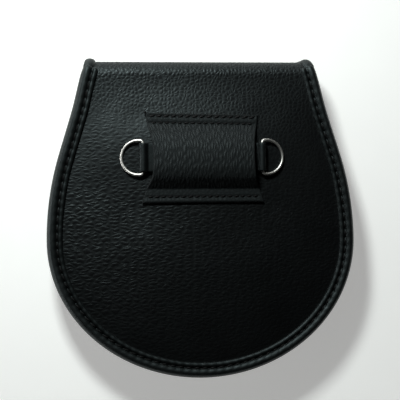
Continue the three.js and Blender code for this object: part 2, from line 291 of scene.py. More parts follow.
@dataclass(frozen=True)
class MilledHide(Finish):
    """Cowhide, chrome-tanned, drum-dyed black and milled.

    It shows semi-matt pebbles with a soft sheen, tinted cool as painted light, and creases that are duller
    and painted darker as painted shade.
    """

    name: str = "milled_cowhide"
    pebble_hex: str = "#0e0e0f"
    # Painted shade: the creases get a darker colour than the pebbles.
    crease_shade_hex: str = "#050505"
    worn_hex: str = "#131313"
    # Painted light: this cool tint on the reflections stands in for cool window light.
    cool_light_sheen_hex: str = "#e8fafd"
    rough: tuple[float, float] = (0.4, 0.26)
    bump_mm: float = 0.12
    grain: PebbleGrain = PebbleGrain()

    def surface(self, tree: bpy.types.NodeTree) -> dict[str, object]:
        """Works out what the shader gets.

        Args:
            tree: The material's tree.

        Returns:
            The shader's inputs, by name.
        """
        where = add(tree, "ShaderNodeAttribute", {"attribute_name": "flat_mm"}).outputs["Vector"]
        stretch = add(tree, "ShaderNodeAttribute", {"attribute_name": "stretch"}).outputs["Fac"]
        wear = add(tree, "ShaderNodeAttribute", {"attribute_name": "wear"}).outputs["Fac"]
        pressed = add(tree, "ShaderNodeAttribute", {"attribute_name": "relief"}).outputs["Fac"]
        height = self.grain.height(tree, where, stretch)
        # Pores are 0.3 mm across on real hide, and are drawn at 0.6 mm to show.
        pores = add(
            tree,
            "ShaderNodeTexNoise",
            {"noise_dimensions": "2D"},
            {"Vector": where, "Scale": 1.6, "Detail": 3.0},
        ).outputs["Fac"]
        patches = add(
            tree,
            "ShaderNodeTexNoise",
            {"noise_dimensions": "2D"},
            {"Vector": where, "Scale": 0.035, "Detail": 2.0},
        ).outputs["Fac"]
        # The colour runs from the painted crease shade up to the pebbles' own black with the grain's
        # height.
        base = add(
            tree,
            "ShaderNodeMix",
            {"data_type": "RGBA"},
            {0: height, 6: linear(self.crease_shade_hex), 7: linear(self.pebble_hex)},
        ).outputs[2]
        rubbed = add(tree, "ShaderNodeMath", {"operation": "MULTIPLY"}, {0: wear, 1: patches}).outputs[0]
        worn = add(
            tree, "ShaderNodeMix", {"data_type": "RGBA"}, {0: rubbed, 6: base, 7: linear(self.worn_hex)}
        ).outputs[2]
        rough = add(
            tree, "ShaderNodeMapRange", {}, {0: height, 3: self.rough[0], 4: self.rough[1]}
        ).outputs[0]
        varied = add(
            tree, "ShaderNodeMath", {"operation": "MULTIPLY_ADD"}, {0: patches, 1: 0.06, 2: -0.03}
        ).outputs[0]
        dulled = add(
            tree, "ShaderNodeMath", {"operation": "MULTIPLY_ADD"}, {0: wear, 1: 0.24, 2: varied}
        ).outputs[0]
        rough = add(tree, "ShaderNodeMath", {"operation": "ADD"}, {0: rough, 1: dulled}).outputs[0]
        grained = add(tree, "ShaderNodeMath", {"operation": "MULTIPLY"}, {0: height, 1: pressed}).outputs[0]
        relief = add(
            tree, "ShaderNodeMath", {"operation": "MULTIPLY_ADD"}, {0: pores, 1: 0.12, 2: grained}
        ).outputs[0]
        bump = add(
            tree, "ShaderNodeBump", {}, {"Strength": 1.0, "Distance": self.bump_mm * MM, "Height": relief}
        )
        return {
            "Base Color": worn,
            "Roughness": rough,
            "Normal": bump.outputs[0],
            "IOR": 1.4,
            "Specular Tint": linear(self.cool_light_sheen_hex),
        }


@dataclass(frozen=True)
class CorrectedHide(Finish):
    """Cowhide with a corrected, plated grain, skived thin: smooth and satin, with fine pores."""

    name: str = "corrected_cowhide"
    black_hex: str = "#070808"
    worn_hex: str = "#131414"
    # Painted light: this cool tint on the reflections stands in for cool window light.
    cool_light_sheen_hex: str = "#e6fafd"
    rough: float = 0.5
    bump_mm: float = 0.05

    def surface(self, tree: bpy.types.NodeTree) -> dict[str, object]:
        """Works out what the shader gets.

        Args:
            tree: The material's tree.

        Returns:
            The shader's inputs, by name.
        """
        where = add(tree, "ShaderNodeAttribute", {"attribute_name": "flat_mm"}).outputs["Vector"]
        wear = add(tree, "ShaderNodeAttribute", {"attribute_name": "wear"}).outputs["Fac"]
        pores = add(
            tree,
            "ShaderNodeTexNoise",
            {"noise_dimensions": "2D"},
            {"Vector": where, "Scale": 1.1, "Detail": 4.0},
        ).outputs["Fac"]
        pulls = add(
            tree,
            "ShaderNodeTexNoise",
            {"noise_dimensions": "2D"},
            {"Vector": where, "Scale": 0.16, "Detail": 2.0},
        ).outputs["Fac"]
        rubbed = add(tree, "ShaderNodeMath", {"operation": "MULTIPLY"}, {0: wear, 1: pulls}).outputs[0]
        base = add(
            tree,
            "ShaderNodeMix",
            {"data_type": "RGBA"},
            {0: rubbed, 6: linear(self.black_hex), 7: linear(self.worn_hex)},
        ).outputs[2]
        rough = add(
            tree, "ShaderNodeMapRange", {}, {0: pulls, 3: self.rough - 0.07, 4: self.rough + 0.09}
        ).outputs[0]
        relief = add(
            tree, "ShaderNodeMath", {"operation": "MULTIPLY_ADD"}, {0: pulls, 1: 2.5, 2: pores}
        ).outputs[0]
        bump = add(
            tree, "ShaderNodeBump", {}, {"Strength": 1.0, "Distance": self.bump_mm * MM, "Height": relief}
        )
        return {
            "Base Color": base,
            "Roughness": rough,
            "Normal": bump.outputs[0],
            "IOR": 1.38,
            "Specular Tint": linear(self.cool_light_sheen_hex),
        }


@dataclass(frozen=True)
class FleshSide(Finish):
    """The inner side of the hide, split and dyed through: a dull, short nap with no gloss."""

    name: str = "flesh_side"
    low_hex: str = "#0e0e0e"
    high_hex: str = "#1c1b1b"

    def surface(self, tree: bpy.types.NodeTree) -> dict[str, object]:
        """Works out what the shader gets.

        Args:
            tree: The material's tree.

        Returns:
            The shader's inputs, by name.
        """
        where = add(tree, "ShaderNodeAttribute", {"attribute_name": "flat_mm"}).outputs["Vector"]
        nap = add(
            tree,
            "ShaderNodeTexNoise",
            {"noise_dimensions": "2D"},
            {"Vector": where, "Scale": 0.9, "Detail": 6.0},
        ).outputs["Fac"]
        base = add(
            tree,
            "ShaderNodeMix",
            {"data_type": "RGBA"},
            {0: nap, 6: linear(self.low_hex), 7: linear(self.high_hex)},
        ).outputs[2]
        rough = add(tree, "ShaderNodeMapRange", {}, {0: nap, 3: 0.82, 4: 0.96}).outputs[0]
        bump = add(tree, "ShaderNodeBump", {}, {"Strength": 1.0, "Distance": 0.15 * MM, "Height": nap})
        return {"Base Color": base, "Roughness": rough, "Normal": bump.outputs[0], "IOR": 1.4}


@dataclass(frozen=True)
class WaxedThread(Finish):
    """Three-ply polyester thread, waxed black: twisted plies, with a dull wax shine on each."""

    name: str = "waxed_thread"
    ply_hex: str = "#070708"
    # Painted shade: the grooves between the plies get a darker colour than the plies.
    groove_shade_hex: str = "#020202"
    ply_mm: float = 1.2

    def surface(self, tree: bpy.types.NodeTree) -> dict[str, object]:
        """Works out what the shader gets.

        Args:
            tree: The material's tree.

        Returns:
            The shader's inputs, by name.
        """
        where = add(tree, "ShaderNodeAttribute", {"attribute_name": "flat_mm"}).outputs["Vector"]
        plies = add(
            tree,
            "ShaderNodeTexWave",
            {"wave_type": "BANDS", "bands_direction": "DIAGONAL", "wave_profile": "SIN"},
            {"Vector": where, "Scale": 0.31 / self.ply_mm, "Distortion": 0.6, "Detail": 1.0},
        ).outputs["Fac"]
        # The grooves between the plies are painted darker as painted shade.
        base = add(
            tree,
            "ShaderNodeMix",
            {"data_type": "RGBA"},
            {0: plies, 6: linear(self.groove_shade_hex), 7: linear(self.ply_hex)},
        ).outputs[2]
        rough = add(tree, "ShaderNodeMapRange", {}, {0: plies, 3: 0.85, 4: 0.7}).outputs[0]
        bump = add(tree, "ShaderNodeBump", {}, {"Strength": 1.0, "Distance": 0.12 * MM, "Height": plies})
        return {"Base Color": base, "Roughness": rough, "Normal": bump.outputs[0], "IOR": 1.3}


@dataclass(frozen=True)
class NickelPlate(Finish):
    """Nickel plate on drawn steel wire, tumbled: a little soft, with duller, fingered patches."""

    name: str = "nickel_plate"
    bright_hex: str = "#dddad5"
    dull_hex: str = "#ceccc7"

    def surface(self, tree: bpy.types.NodeTree) -> dict[str, object]:
        """Works out what the shader gets.

        Args:
            tree: The material's tree.

        Returns:
            The shader's inputs, by name.
        """
        where = add(tree, "ShaderNodeTexCoord").outputs["Object"]
        patches = add(
            tree, "ShaderNodeTexNoise", {}, {"Vector": where, "Scale": 240.0, "Detail": 3.0}
        ).outputs["Fac"]
        lines = add(
            tree, "ShaderNodeTexNoise", {}, {"Vector": where, "Scale": 2600.0, "Detail": 2.0}
        ).outputs["Fac"]
        base = add(
            tree,
            "ShaderNodeMix",
            {"data_type": "RGBA"},
            {0: patches, 6: linear(self.bright_hex), 7: linear(self.dull_hex)},
        ).outputs[2]
        rough = add(tree, "ShaderNodeMapRange", {}, {0: patches, 3: 0.4, 4: 0.48}).outputs[0]
        bump = add(tree, "ShaderNodeBump", {}, {"Strength": 1.0, "Distance": 0.001 * MM, "Height": lines})
        return {"Base Color": base, "Metallic": 1.0, "Roughness": rough, "Normal": bump.outputs[0]}


@dataclass(frozen=True)
class PaintedBoard(Finish):
    """A board painted matt off-white, with a faint roller texture, that the pouch lies on."""

    name: str = "painted_board"
    low_hex: str = "#ededeb"
    high_hex: str = "#f3f3f1"
    glow: float = 0.42

    def surface(self, tree: bpy.types.NodeTree) -> dict[str, object]:
        """Works out what the shader gets.

        Args:
            tree: The material's tree.

        Returns:
            The shader's inputs, by name.
        """
        where = add(tree, "ShaderNodeTexCoord").outputs["Object"]
        roller = add(
            tree, "ShaderNodeTexNoise", {}, {"Vector": where, "Scale": 60.0, "Detail": 3.0}
        ).outputs["Fac"]
        base = add(
            tree,
            "ShaderNodeMix",
            {"data_type": "RGBA"},
            {0: roller, 6: linear(self.low_hex), 7: linear(self.high_hex)},
        ).outputs[2]
        return {
            "Base Color": base,
            "Roughness": 0.85,
            "Specular IOR Level": 0.2,
            "Emission Color": linear(self.high_hex),
            "Emission Strength": self.glow,
        }


# The belt loop's strip bears the weight, so its pebbles are drawn out into long, dull furrows.
PULLED_HIDE = MilledHide(
    name="milled_cowhide_pulled",
    # Its pebbles are painted darker than the back's, though it is the same hide: painted shade on the loop.
    pebble_hex="#0a0a0a",
    rough=(0.84, 0.6),
    bump_mm=0.16,
    grain=PebbleGrain(ripple_mm=(7.0, 1.85), wander_mm=1.1, depth_mm=0.2),
)


@dataclass
class Palette:
    """Every finish of the pouch, each made once."""

    pebbled: bpy.types.Material = field(default_factory=lambda: MilledHide().material())
    pulled: bpy.types.Material = field(default_factory=lambda: PULLED_HIDE.material())
    smooth: bpy.types.Material = field(default_factory=lambda: CorrectedHide().material())
    flesh: bpy.types.Material = field(default_factory=lambda: FleshSide().material())
    thread: bpy.types.Material = field(default_factory=lambda: WaxedThread().material())
    plated: bpy.types.Material = field(default_factory=lambda: NickelPlate().material())
    grain: PebbleGrain = PebbleGrain()


# ------------------------------------------------------------ lines and meshes


def ease(values: np.ndarray | float, low: float, high: float) -> np.ndarray:
    """Rises smoothly from 0 at one value to 1 at another.

    Args:
        values: The values.
        low: Where it is 0.
        high: Where it is 1.

    Returns:
        The eased shares.
    """
    share = np.clip((np.asarray(values, float) - low) / (high - low), 0.0, 1.0)
    return share * share * (3 - 2 * share)


def bell(values: np.ndarray, middle: float, width: float) -> np.ndarray:
    """Rises to 1 at one value, and fades on both sides of it.

    Args:
        values: The values.
        middle: Where it is 1.
        width: How far from there it has faded to 0.37.

    Returns:
        The shares.
    """
    return np.exp(-(((values - middle) / width) ** 2))


def rounded(share: np.ndarray) -> np.ndarray:
    """Rises steeply from 0 and levels off at 1, like a quarter circle.

    Args:
        share: How far along the quarter circle, 0 to 1.

    Returns:
        The heights.
    """
    return np.sqrt(1 - (1 - np.clip(share, 0, 1)) ** 2)


def unit_circle(count: int) -> np.ndarray:
    """Places points evenly round a circle with a radius of 1.

    Args:
        count: How many points.

    Returns:
        The points, one a row.
    """
    turn = np.linspace(0, 2 * math.pi, count, endpoint=False)
    return np.stack([np.cos(turn), np.sin(turn)], axis=-1)


def curve(points: list[tuple[float, ...]], per_span: int = 16) -> np.ndarray:
    """Draws a smooth centripetal curve through points.

    Args:
        points: The points that it passes through.
        per_span: How many steps there are between two of them.

    Returns:
        The curve's points, one to a row.
    """
    given = np.asarray(points, float)
    held = np.vstack([2 * given[0] - given[1], given, 2 * given[-1] - given[-2]])
    out = []
    for a, b, c, d in zip(held, held[1:], held[2:], held[3:]):
        t0 = 0.0
        t1 = t0 + math.sqrt(np.linalg.norm(b - a))
        t2 = t1 + math.sqrt(np.linalg.norm(c - b))
        t3 = t2 + math.sqrt(np.linalg.norm(d - c))
        t = np.linspace(t1, t2, per_span, endpoint=False)[:, None]
        ab = (t1 - t) / (t1 - t0) * a + (t - t0) / (t1 - t0) * b
        bc = (t2 - t) / (t2 - t1) * b + (t - t1) / (t2 - t1) * c
        cd = (t3 - t) / (t3 - t2) * c + (t - t2) / (t3 - t2) * d
        abc = (t2 - t) / (t2 - t0) * ab + (t - t0) / (t2 - t0) * bc
        bcd = (t3 - t) / (t3 - t1) * bc + (t - t1) / (t3 - t1) * cd
        out.append((t2 - t) / (t2 - t1) * abc + (t - t1) / (t2 - t1) * bcd)
    out.append(given[-1:])
    return np.vstack(out)


def travelled(line: np.ndarray) -> np.ndarray:
    """Measures how far along a line each of its points is.

    Args:
        line: The line's points, one to a row.

    Returns:
        The distances, from 0 at the first point.
    """
    return np.concatenate([[0.0], np.cumsum(np.linalg.norm(np.diff(line, axis=0), axis=1))])


def at(line: np.ndarray, distances: np.ndarray) -> np.ndarray:
    """Reads a line at distances along it.

    Args:
        line: Its points, one to a row.
        distances: The distances.

    Returns:
        A point for each distance.
    """
    along = travelled(line)
    return np.stack([np.interp(distances, along, line[:, k]) for k in range(line.shape[1])], axis=-1)


def evenly(line: np.ndarray, count: int) -> np.ndarray:
    """Places points evenly along a line.

    Args:
        line: The line's points, one to a row.
        count: How many points to place.

    Returns:
        The points.
    """
    return at(line, np.linspace(0, travelled(line)[-1], count))


def directions(line: np.ndarray) -> np.ndarray:
    """Works out which way a line runs at each of its points.

    Args:
        line: The line's points, one to a row.

    Returns:
        A unit vector for each point.
    """
    run = np.gradient(line, axis=0)
    return run / np.linalg.norm(run, axis=1, keepdims=True)


class Solid:
    """Points and faces of one piece, with where each point lies on its flat leather."""

    FIELDS = ("relief", "stretch", "wear")

    def __init__(self) -> None:
        """Starts with nothing."""
        self.count = 0
        self.places: list[np.ndarray] = []
        self.flat: list[np.ndarray] = []
        self.fields: dict[str, list[np.ndarray]] = {name: [] for name in self.FIELDS}
        self.faces: list[np.ndarray] = []
        self.finishes: list[np.ndarray] = []

    def points(
        self, xyz: np.ndarray, flat: np.ndarray | None = None, **values: np.ndarray | float
    ) -> np.ndarray:
        """Adds points.

        Args:
            xyz: The points, in any arrangement, with three numbers for each.
            flat: Where each lies on the flat leather, with two numbers for each.
            **values: The points' relief, stretch and wear, from 0 to 1.

        Returns:
            The points' numbers, in the same arrangement.
        """
        shape = xyz.shape[:-1]
        size = int(np.prod(shape))
        self.places.append(xyz.reshape(size, 3))
        on_flat = np.zeros((*shape, 2)) if flat is None else np.broadcast_to(flat, (*shape, 2))
        self.flat.append(on_flat.reshape(size, 2))
        for name in self.FIELDS:
            value = np.broadcast_to(values.get(name, 0.0), shape)
            self.fields[name].append(value.astype(float).reshape(size))
        first = self.count
        self.count += size
        return np.arange(first, first + size).reshape(shape)

    def quads(self, index: np.ndarray, finish: int = 0, wrap: bool = False) -> None:
        """Fills a grid of points with faces.

        Args:
            index: The points' numbers, in rows and columns.
            finish: Which of the piece's finishes the faces have.
            wrap: Whether the last column joins the first.
        """
        if wrap:
            index = np.concatenate([index, index[:, :1]], axis=1)
        corners = [index[:-1, :-1], index[:-1, 1:], index[1:, 1:], index[1:, :-1]]
        faces = np.stack(corners, axis=-1).reshape(-1, 4)
        self.faces.append(faces)
        self.finishes.append(np.full(len(faces), finish))

    def strip(self, first: np.ndarray, second: np.ndarray, finish: int = 0) -> None:
        """Joins two lines of the same number of points with faces.

        Args:
            first: The first line's point numbers.
            second: The second line's point numbers.
            finish: Which of the piece's finishes the faces have.
        """
        self.quads(np.stack([first, second]), finish)

    def bridge(self, first: np.ndarray, second: np.ndarray, finish: int = 0) -> None:
        """Joins two lines that have different numbers of points with triangles.

        Args:
            first: The first line's point numbers.
            second: The second line's point numbers, which run the same way.
            finish: Which of the piece's finishes the faces have.
        """
        i, j, made = 0, 0, []
        while i < len(first) - 1 or j < len(second) - 1:
            share_i = (i + 1) / (len(first) - 1) if i < len(first) - 1 else 2.0
            share_j = (j + 1) / (len(second) - 1) if j < len(second) - 1 else 2.0
            if share_i <= share_j:
                made.append((first[i], first[i + 1], second[j], second[j]))
                i += 1
            else:
                made.append((first[i], second[j + 1], second[j], second[j]))
                j += 1
        self.faces.append(np.array(made))
        self.finishes.append(np.full(len(made), finish))

    def cap(self, ring: np.ndarray, finish: int = 0) -> None:
        """Closes a ring of points with a fan about its middle.

        Args:
            ring: The points' numbers, in order round the ring.
            finish: Which of the piece's finishes the faces have.
        """
        places = np.concatenate(self.places)
        flat = np.concatenate(self.flat)
        middle = self.points(places[ring].mean(0)[None], flat[ring].mean(0)[None])[0]
        following = np.roll(ring, -1)
        tip = np.full(len(ring), middle)
        self.faces.append(np.stack([ring, following, tip, tip], axis=-1))
        self.finishes.append(np.full(len(ring), finish))

    def sweep(
        self,
        centres: np.ndarray,
        across: np.ndarray,
        up: np.ndarray,
        section: np.ndarray,
        closed: bool = False,
    ) -> None:
        """Carries a closed section along a line.

        Args:
            centres: The line's points.
            across: The direction of the section's first axis at each point.
            up: The direction of its second axis at each point.
            section: The section's points, either one section or one for each point of the line.
            closed: Whether the line's end joins its start.
        """
        shaped = np.broadcast_to(section, (len(centres), *section.shape[-2:]))
        xyz = centres[:, None] + across[:, None] * shaped[..., :1] + up[:, None] * shaped[..., 1:]
        run = travelled(centres)[:, None] + np.zeros(shaped.shape[1])
        ring = np.vstack([shaped[len(shaped) // 2], shaped[len(shaped) // 2][:1]])
        round_ = np.zeros((len(centres), 1)) + travelled(ring)[:-1]
        index = self.points(xyz, np.stack([run, round_], axis=-1))
        self.quads(np.concatenate([index, index[:1]]) if closed else index, wrap=True)
        if not closed:
            self.cap(index[0])
            self.cap(index[-1])

    def mesh(self, name: str) -> bpy.types.Mesh:
        """Makes the mesh, with doubled points joined and its faces looking out.

        Args:
            name: The mesh's name.

        Returns:
            The mesh, in metres.
        """
        made = bpy.data.meshes.new(name)
        faces = np.concatenate(self.faces)
        finishes = np.concatenate(self.finishes)
        corners = [f[:3] if f[2] == f[3] else f for f in faces.tolist()]
        made.from_pydata((np.concatenate(self.places) * MM).tolist(), [], corners)
        made.polygons.foreach_set("material_index", finishes.astype(np.int32))
        flat = made.attributes.new("flat_mm", "FLOAT_VECTOR", "POINT")
        there = np.concatenate(self.flat)
        level = np.column_stack([there, np.zeros(len(there))])
        flat.data.foreach_set("vector", level.astype(np.float32).ravel())
        for field_name, values in self.fields.items():
            attribute = made.attributes.new(field_name, "FLOAT", "POINT")
            attribute.data.foreach_set("value", np.concatenate(values).astype(np.float32))
        work = bmesh.new()
        work.from_mesh(made)
        bmesh.ops.remove_doubles(work, verts=work.verts, dist=1e-7)
        bmesh.ops.dissolve_degenerate(work, edges=work.edges, dist=1e-8)
        bmesh.ops.recalc_face_normals(work, faces=work.faces)
        work.to_mesh(made)
        work.free()
        made.shade_smooth()
        return made


def place(
    name: str,
    solid: Solid,
    finishes: list[bpy.types.Material],
    stands_for: tuple[str, ...] = (),
    body: str = POUCH,
    grain: PebbleGrain | None = None,
) -> bpy.types.Object:
    """Makes a piece and puts it on its body.

    Args:
        name: The piece's name.
        solid: Its points and faces.
        finishes: Its materials, in the order that its faces name them.
        stands_for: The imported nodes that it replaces.
        body: The body that it rides on.
        grain: A grain that is pressed into the mesh.

    Returns:
        The piece.
    """
    piece = bpy.data.objects.new(name, solid.mesh(name))
    bpy.context.scene.collection.objects.link(piece)
    for finish in finishes:
        piece.data.materials.append(finish)
    if grain is not None:
        grain.emboss(piece)
    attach(piece, body)
    if stands_for:
        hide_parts(*stands_for)
    LOG.info("%s: %d points, %d faces", name, len(piece.data.vertices), len(piece.data.polygons))
    return piece


# ------------------------------------------------------------ the flat pattern


@dataclass(frozen=True)
class Outline:
    """An edge of the pouch: half an ellipse below its widest line, and an arc and a shoulder above."""

    half_width: float
    widest_y: float
    bottom_depth: float
    shoulder_radius: float = 190.0
    shoulder_slope: float = math.radians(17)
    flare: float = 1.3
    flared: tuple[float, float] = (66.0, 96.0)

    def inset(self, distance: float) -> "Outline":
        """Moves the edge in.

        Args:
            distance: How far in it moves.

        Returns:
            The inner edge.
        """
        return replace(
            self,
            half_width=self.half_width - distance,
            bottom_depth=self.bottom_depth - distance,
            shoulder_radius=self.shoulder_radius - distance,
        )

    @property
    def bottom_y(self) -> float:
        """The edge's lowest point.

        Returns:
            Its Y.
        """
        return self.widest_y - self.bottom_depth

    def heights(self, top: float, upper: int, lower: int) -> np.ndarray:
        """Heights down the edge's right-hand half, closer together where it turns in to the bottom.

        Args:
            top: The first height.
            upper: How many there are down to the widest line.
            lower: How many there are from there to the bottom.

        Returns:
            The heights.
        """
        round_ = self.widest_y - self.bottom_depth * np.sin(np.linspace(0, math.pi / 2, lower))
        return np.concatenate([np.linspace(top, self.widest_y, upper), round_[1:]])

    def half_width_at(self, y: np.ndarray | float) -> np.ndarray:
        """Half the width at any height.

        Args:
            y: The heights.

        Returns:
            The half widths.
        """
        y = np.asarray(y, float)
        below = np.clip((y - self.widest_y) / self.bottom_depth, -1.0, 0.0)
        arc_x = self.half_width - self.shoulder_radius
        straight_y = self.widest_y + self.shoulder_radius * math.sin(self.shoulder_slope)
        straight_x = arc_x + self.shoulder_radius * math.cos(self.shoulder_slope)
        arc = arc_x + np.sqrt(np.maximum(self.shoulder_radius**2 - (y - self.widest_y) ** 2, 0.0))
        shoulder = straight_x - (y - straight_y) * math.tan(self.shoulder_slope)
        upper = np.where(y > straight_y, shoulder, arc) + self.flare * ease(y, *self.flared)
        return np.where(y < self.widest_y, self.half_width * np.sqrt(1 - below**2), upper)


BACK = Outline(100.0, -14.4, 89.0)
FLAP = Outline(97.0, -8.4, 45.0)


@dataclass(frozen=True)
class FoldedSheet:
    """How the sheet of the back and flap runs: up the back, over the fold and down the flap."""

    rim_z: float = 30.0
    fold_y: float = 101.6
    upper_radius: float = 9.0
    lower_radius: float = 8.0
    thickness: float = 2.0
    crown: float = 5.0
    crown_inset: float = 10.0
    crown_flat_to: float = 44.0
    edge_lift: float = 1.8
    lift_inset: float = 2.2
    lifted: tuple[float, float] = (0.62, 0.84)

    @property
    def upper_start(self) -> float:
        """Where along the sheet the back turns into the fold.

        Returns:
            The length.
        """
        return self.fold_y - self.upper_radius

    @property
    def upper_end(self) -> float:
        """Where along the sheet the fold's upper turn ends.

        Returns:
            The length.
        """
        return self.upper_start + self.upper_radius * math.pi / 2

    @property
    def lower_start(self) -> float:
        """Where along the sheet the fold's lower turn starts.

        Returns:
            The length.
        """
        return self.upper_end + self.rim_z - self.upper_radius - self.lower_radius

    @property
    def lower_end(self) -> float:
        """Where along the sheet the flap starts.

        Returns:
            The length.
        """
        return self.lower_start + self.lower_radius * math.pi / 2

    def flap_length(self, y: np.ndarray | float) -> np.ndarray:
        """Works out how far along the sheet a place on the flap is.

        Args:
            y: How far up on the flap.

        Returns:
            The lengths.
        """
        return self.lower_end + self.fold_y - self.lower_radius - np.asarray(y, float)

    def along(self, length: np.ndarray) -> tuple[np.ndarray, np.ndarray, np.ndarray, np.ndarray]:
        """Where lengths along the sheet lie.

        Args:
            length: Distances over the outer face.

        Returns:
            The outer face's Y and Z, and the Y and Z of the way that it looks.
        """
        length = np.asarray(length, float)
        upper = np.clip((length - self.upper_start) / self.upper_radius, 0, math.pi / 2)
        lower = np.clip((length - self.lower_start) / self.lower_radius, 0, math.pi / 2)
        turn = upper + lower
        out_y, out_z = np.sin(turn), np.cos(turn)
        wall = np.clip(length - self.upper_end, 0, self.lower_start - self.upper_end)
        y = (
            np.minimum(length, self.upper_start)
            + self.upper_radius * np.sin(upper)
            - self.lower_radius * (1 - np.cos(lower))
            - np.maximum(length - self.lower_end, 0)
        )
        z = self.rim_z - self.upper_radius * (1 - np.cos(upper)) - wall - self.lower_radius * np.sin(lower)
        return y, z, out_y, out_z

    def over(
        self,
        x: np.ndarray,
        length: np.ndarray,
        height: np.ndarray | float,
        lifted: np.ndarray | float = 1.0,
    ) -> np.ndarray:
        """Points over the sheet's outer face.

        Args:
            x: How far across the sheet each is.
            length: How far along it.
            height: How high over its outer face.
            lifted: How far the flap has risen to its bound edge, from 0 to 1.

        Returns:
            The points.
        """
        y, z, out_y, out_z = self.along(length)
        out = height - self.edge_lift * ease(length, self.lower_start, self.lower_end) * lifted
        return np.stack(np.broadcast_arrays(x, y + out_y * out, z + out_z * out), axis=-1)

    def fullness(self, x: np.ndarray, y: np.ndarray) -> np.ndarray:
        """Works out how full the back is.

        Args:
            x: How far across.
            y: How far up.

        Returns:
            The fullness, from 0 at its binding and its fold to 1 in the middle.
        """
        edge = BACK.inset(self.crown_inset)
        across = np.clip(1 - (x / edge.half_width_at(np.maximum(y, edge.widest_y))) ** 2, 0, None)
        down = np.minimum((y - edge.widest_y) / edge.bottom_depth, 0)
        upper = across * (1 - ease(y, self.crown_flat_to, self.upper_start))
        return np.where(y < edge.widest_y, np.clip(across - down**2, 0, None), upper)

    def back_z(self, x: np.ndarray | float, y: np.ndarray | float) -> np.ndarray:
        """Works out the height of the back's outer face.

        Args:
            x: How far across.
            y: How far up.

        Returns:
            Its Z.
        """
        return self.rim_z + self.crown * self.fullness(np.asarray(x, float), np.asarray(y, float))

    def flap_lift(self, x: np.ndarray, y: np.ndarray) -> np.ndarray:
        """Works out how far the flap has risen to its edge.

        Args:
            x: How far across.
            y: How far up.

        Returns:
            The rise, from 0 over its flat middle to 1 under the binding.
        """
        edge = FLAP.inset(self.lift_inset)
        down = (y - edge.widest_y) / edge.bottom_depth
        round_ = np.hypot(x / edge.half_width, down)
        straight = np.abs(x) / edge.half_width_at(np.maximum(y, edge.widest_y))
        return ease(np.where(y < edge.widest_y, round_, straight), *self.lifted)

    def edge_half(self, length: np.ndarray, back_inset: float, flap_inset: float) -> np.ndarray:
        """Half the sheet's width at a length along it.

        Args:
            length: The lengths.
            back_inset: How far in from the back's outline the edge lies.
            flap_inset: How far in from the flap's outline.

        Returns:
            The half widths.
        """
        y = self.along(length)[0]
        on_flap = np.clip((length - self.upper_end) / (self.lower_start - self.upper_end), 0, 1)
        back = BACK.inset(back_inset).half_width_at(y)
        return back + (FLAP.inset(flap_inset).half_width_at(y) - back) * on_flap


SHEET = FoldedSheet()


@dataclass
class Seam:
    """A mirrored edge in the flat pattern, read at even steps, with the way in from it."""

    points: np.ndarray
    inward: np.ndarray
    run: np.ndarray

    @classmethod
    def mirrored(cls, half: np.ndarray, step: float) -> "Seam":
        """Makes a seam from its right-hand half.

        Args:
            half: Points from the seam's upper end to the middle of the bottom.
            step: The distance between two points of the seam.

        Returns:
            The seam.
        """
        whole = np.vstack([half, (half * [-1, 1])[-2::-1]])
        length = travelled(whole)[-1]
        points = evenly(whole, int(round(length / step)) + 1)
        way = directions(points)
        inward = np.stack([way[:, 1], -way[:, 0]], axis=-1)
        middle = points.mean(0)
        if np.sum(inward * (middle - points)) < 0:
            inward = -inward
        return cls(points, inward, travelled(points))

    def at(self, run: np.ndarray, inset: np.ndarray | float) -> np.ndarray:
        """Points at distances along the seam, moved in from it.

        Args:
            run: The distances.
            inset: How far in each point is.

        Returns:
            The points' X and Y.
        """
        base = np.stack([np.interp(run, self.run, self.points[:, k]) for k in (0, 1)], axis=-1)
        way = np.stack([np.interp(run, self.run, self.inward[:, k]) for k in (0, 1)], axis=-1)
        return base + way * np.asarray(inset)[..., None]


# ------------------------------------------------------------ stitching


@dataclass(frozen=True)
class Stitching:
    """A row of stitches: where its holes are, and the thread that goes from hole to hole."""

    pitch: float
    thread: float = 0.9
    slant: float = 0.5
    rise: float = 0.3
    sink: float = 0.9
    reach: float = 0.8
    seed: int = 1

    def holes(self, start: float, end: float) -> np.ndarray:
        """Where the holes are along a seam, a little uneven as hand-guided work is.

        Args:
            start: Where the row starts.
            end: Where it ends.

        Returns:
            The holes' distances along the seam.
        """
        count = max(2, int(round((end - start) / self.pitch)) + 1)
        even = np.linspace(start, end, count)
        return even + np.random.default_rng(self.seed).normal(0, 0.035 * self.pitch, count)

    def sew(self, solid: Solid, starts: np.ndarray, ends: np.ndarray, ups: np.ndarray) -> None:
        """Lays one stitch between each pair of holes.

        Args:
            solid: What the thread is added to.
            starts: Where the stitches go in, on the leather's face.
            ends: Where they come out.
            ups: The way that the face looks at each stitch.
        """
        share = np.array([0, 0.06, 0.14, 0.28, 0.42, 0.58, 0.72, 0.86, 0.94, 1.0])
        lift = -self.sink + (self.sink + self.rise) * np.sin(np.pi * share) ** 0.42
        girth = 0.5 * self.thread * (0.62 + 0.38 * np.sin(np.pi * share) ** 0.5)
        circle = unit_circle(10)
        for start, end, up in zip(starts, ends, ups):
            middle, half = (start + end) / 2, (end - start) / 2 * (0.5 + 0.5 * self.reach)
            line = middle + half * (2 * share[:, None] - 1) + up * lift[:, None]
            way = directions(line)
            across = np.cross(way, up)
            across /= np.linalg.norm(across, axis=1, keepdims=True)
            solid.sweep(line, across, np.cross(across, way), circle * girth[:, None, None])


# ------------------------------------------------------------ sub-assemblies


# Dents at the belt loop's corners: their depth, where they are, and their width across and along.
DENTS = ((0.25, (41.0, 66.0), (9.0, 8.0)), (0.3, (44.0, 6.0), (10.0, 9.0)))


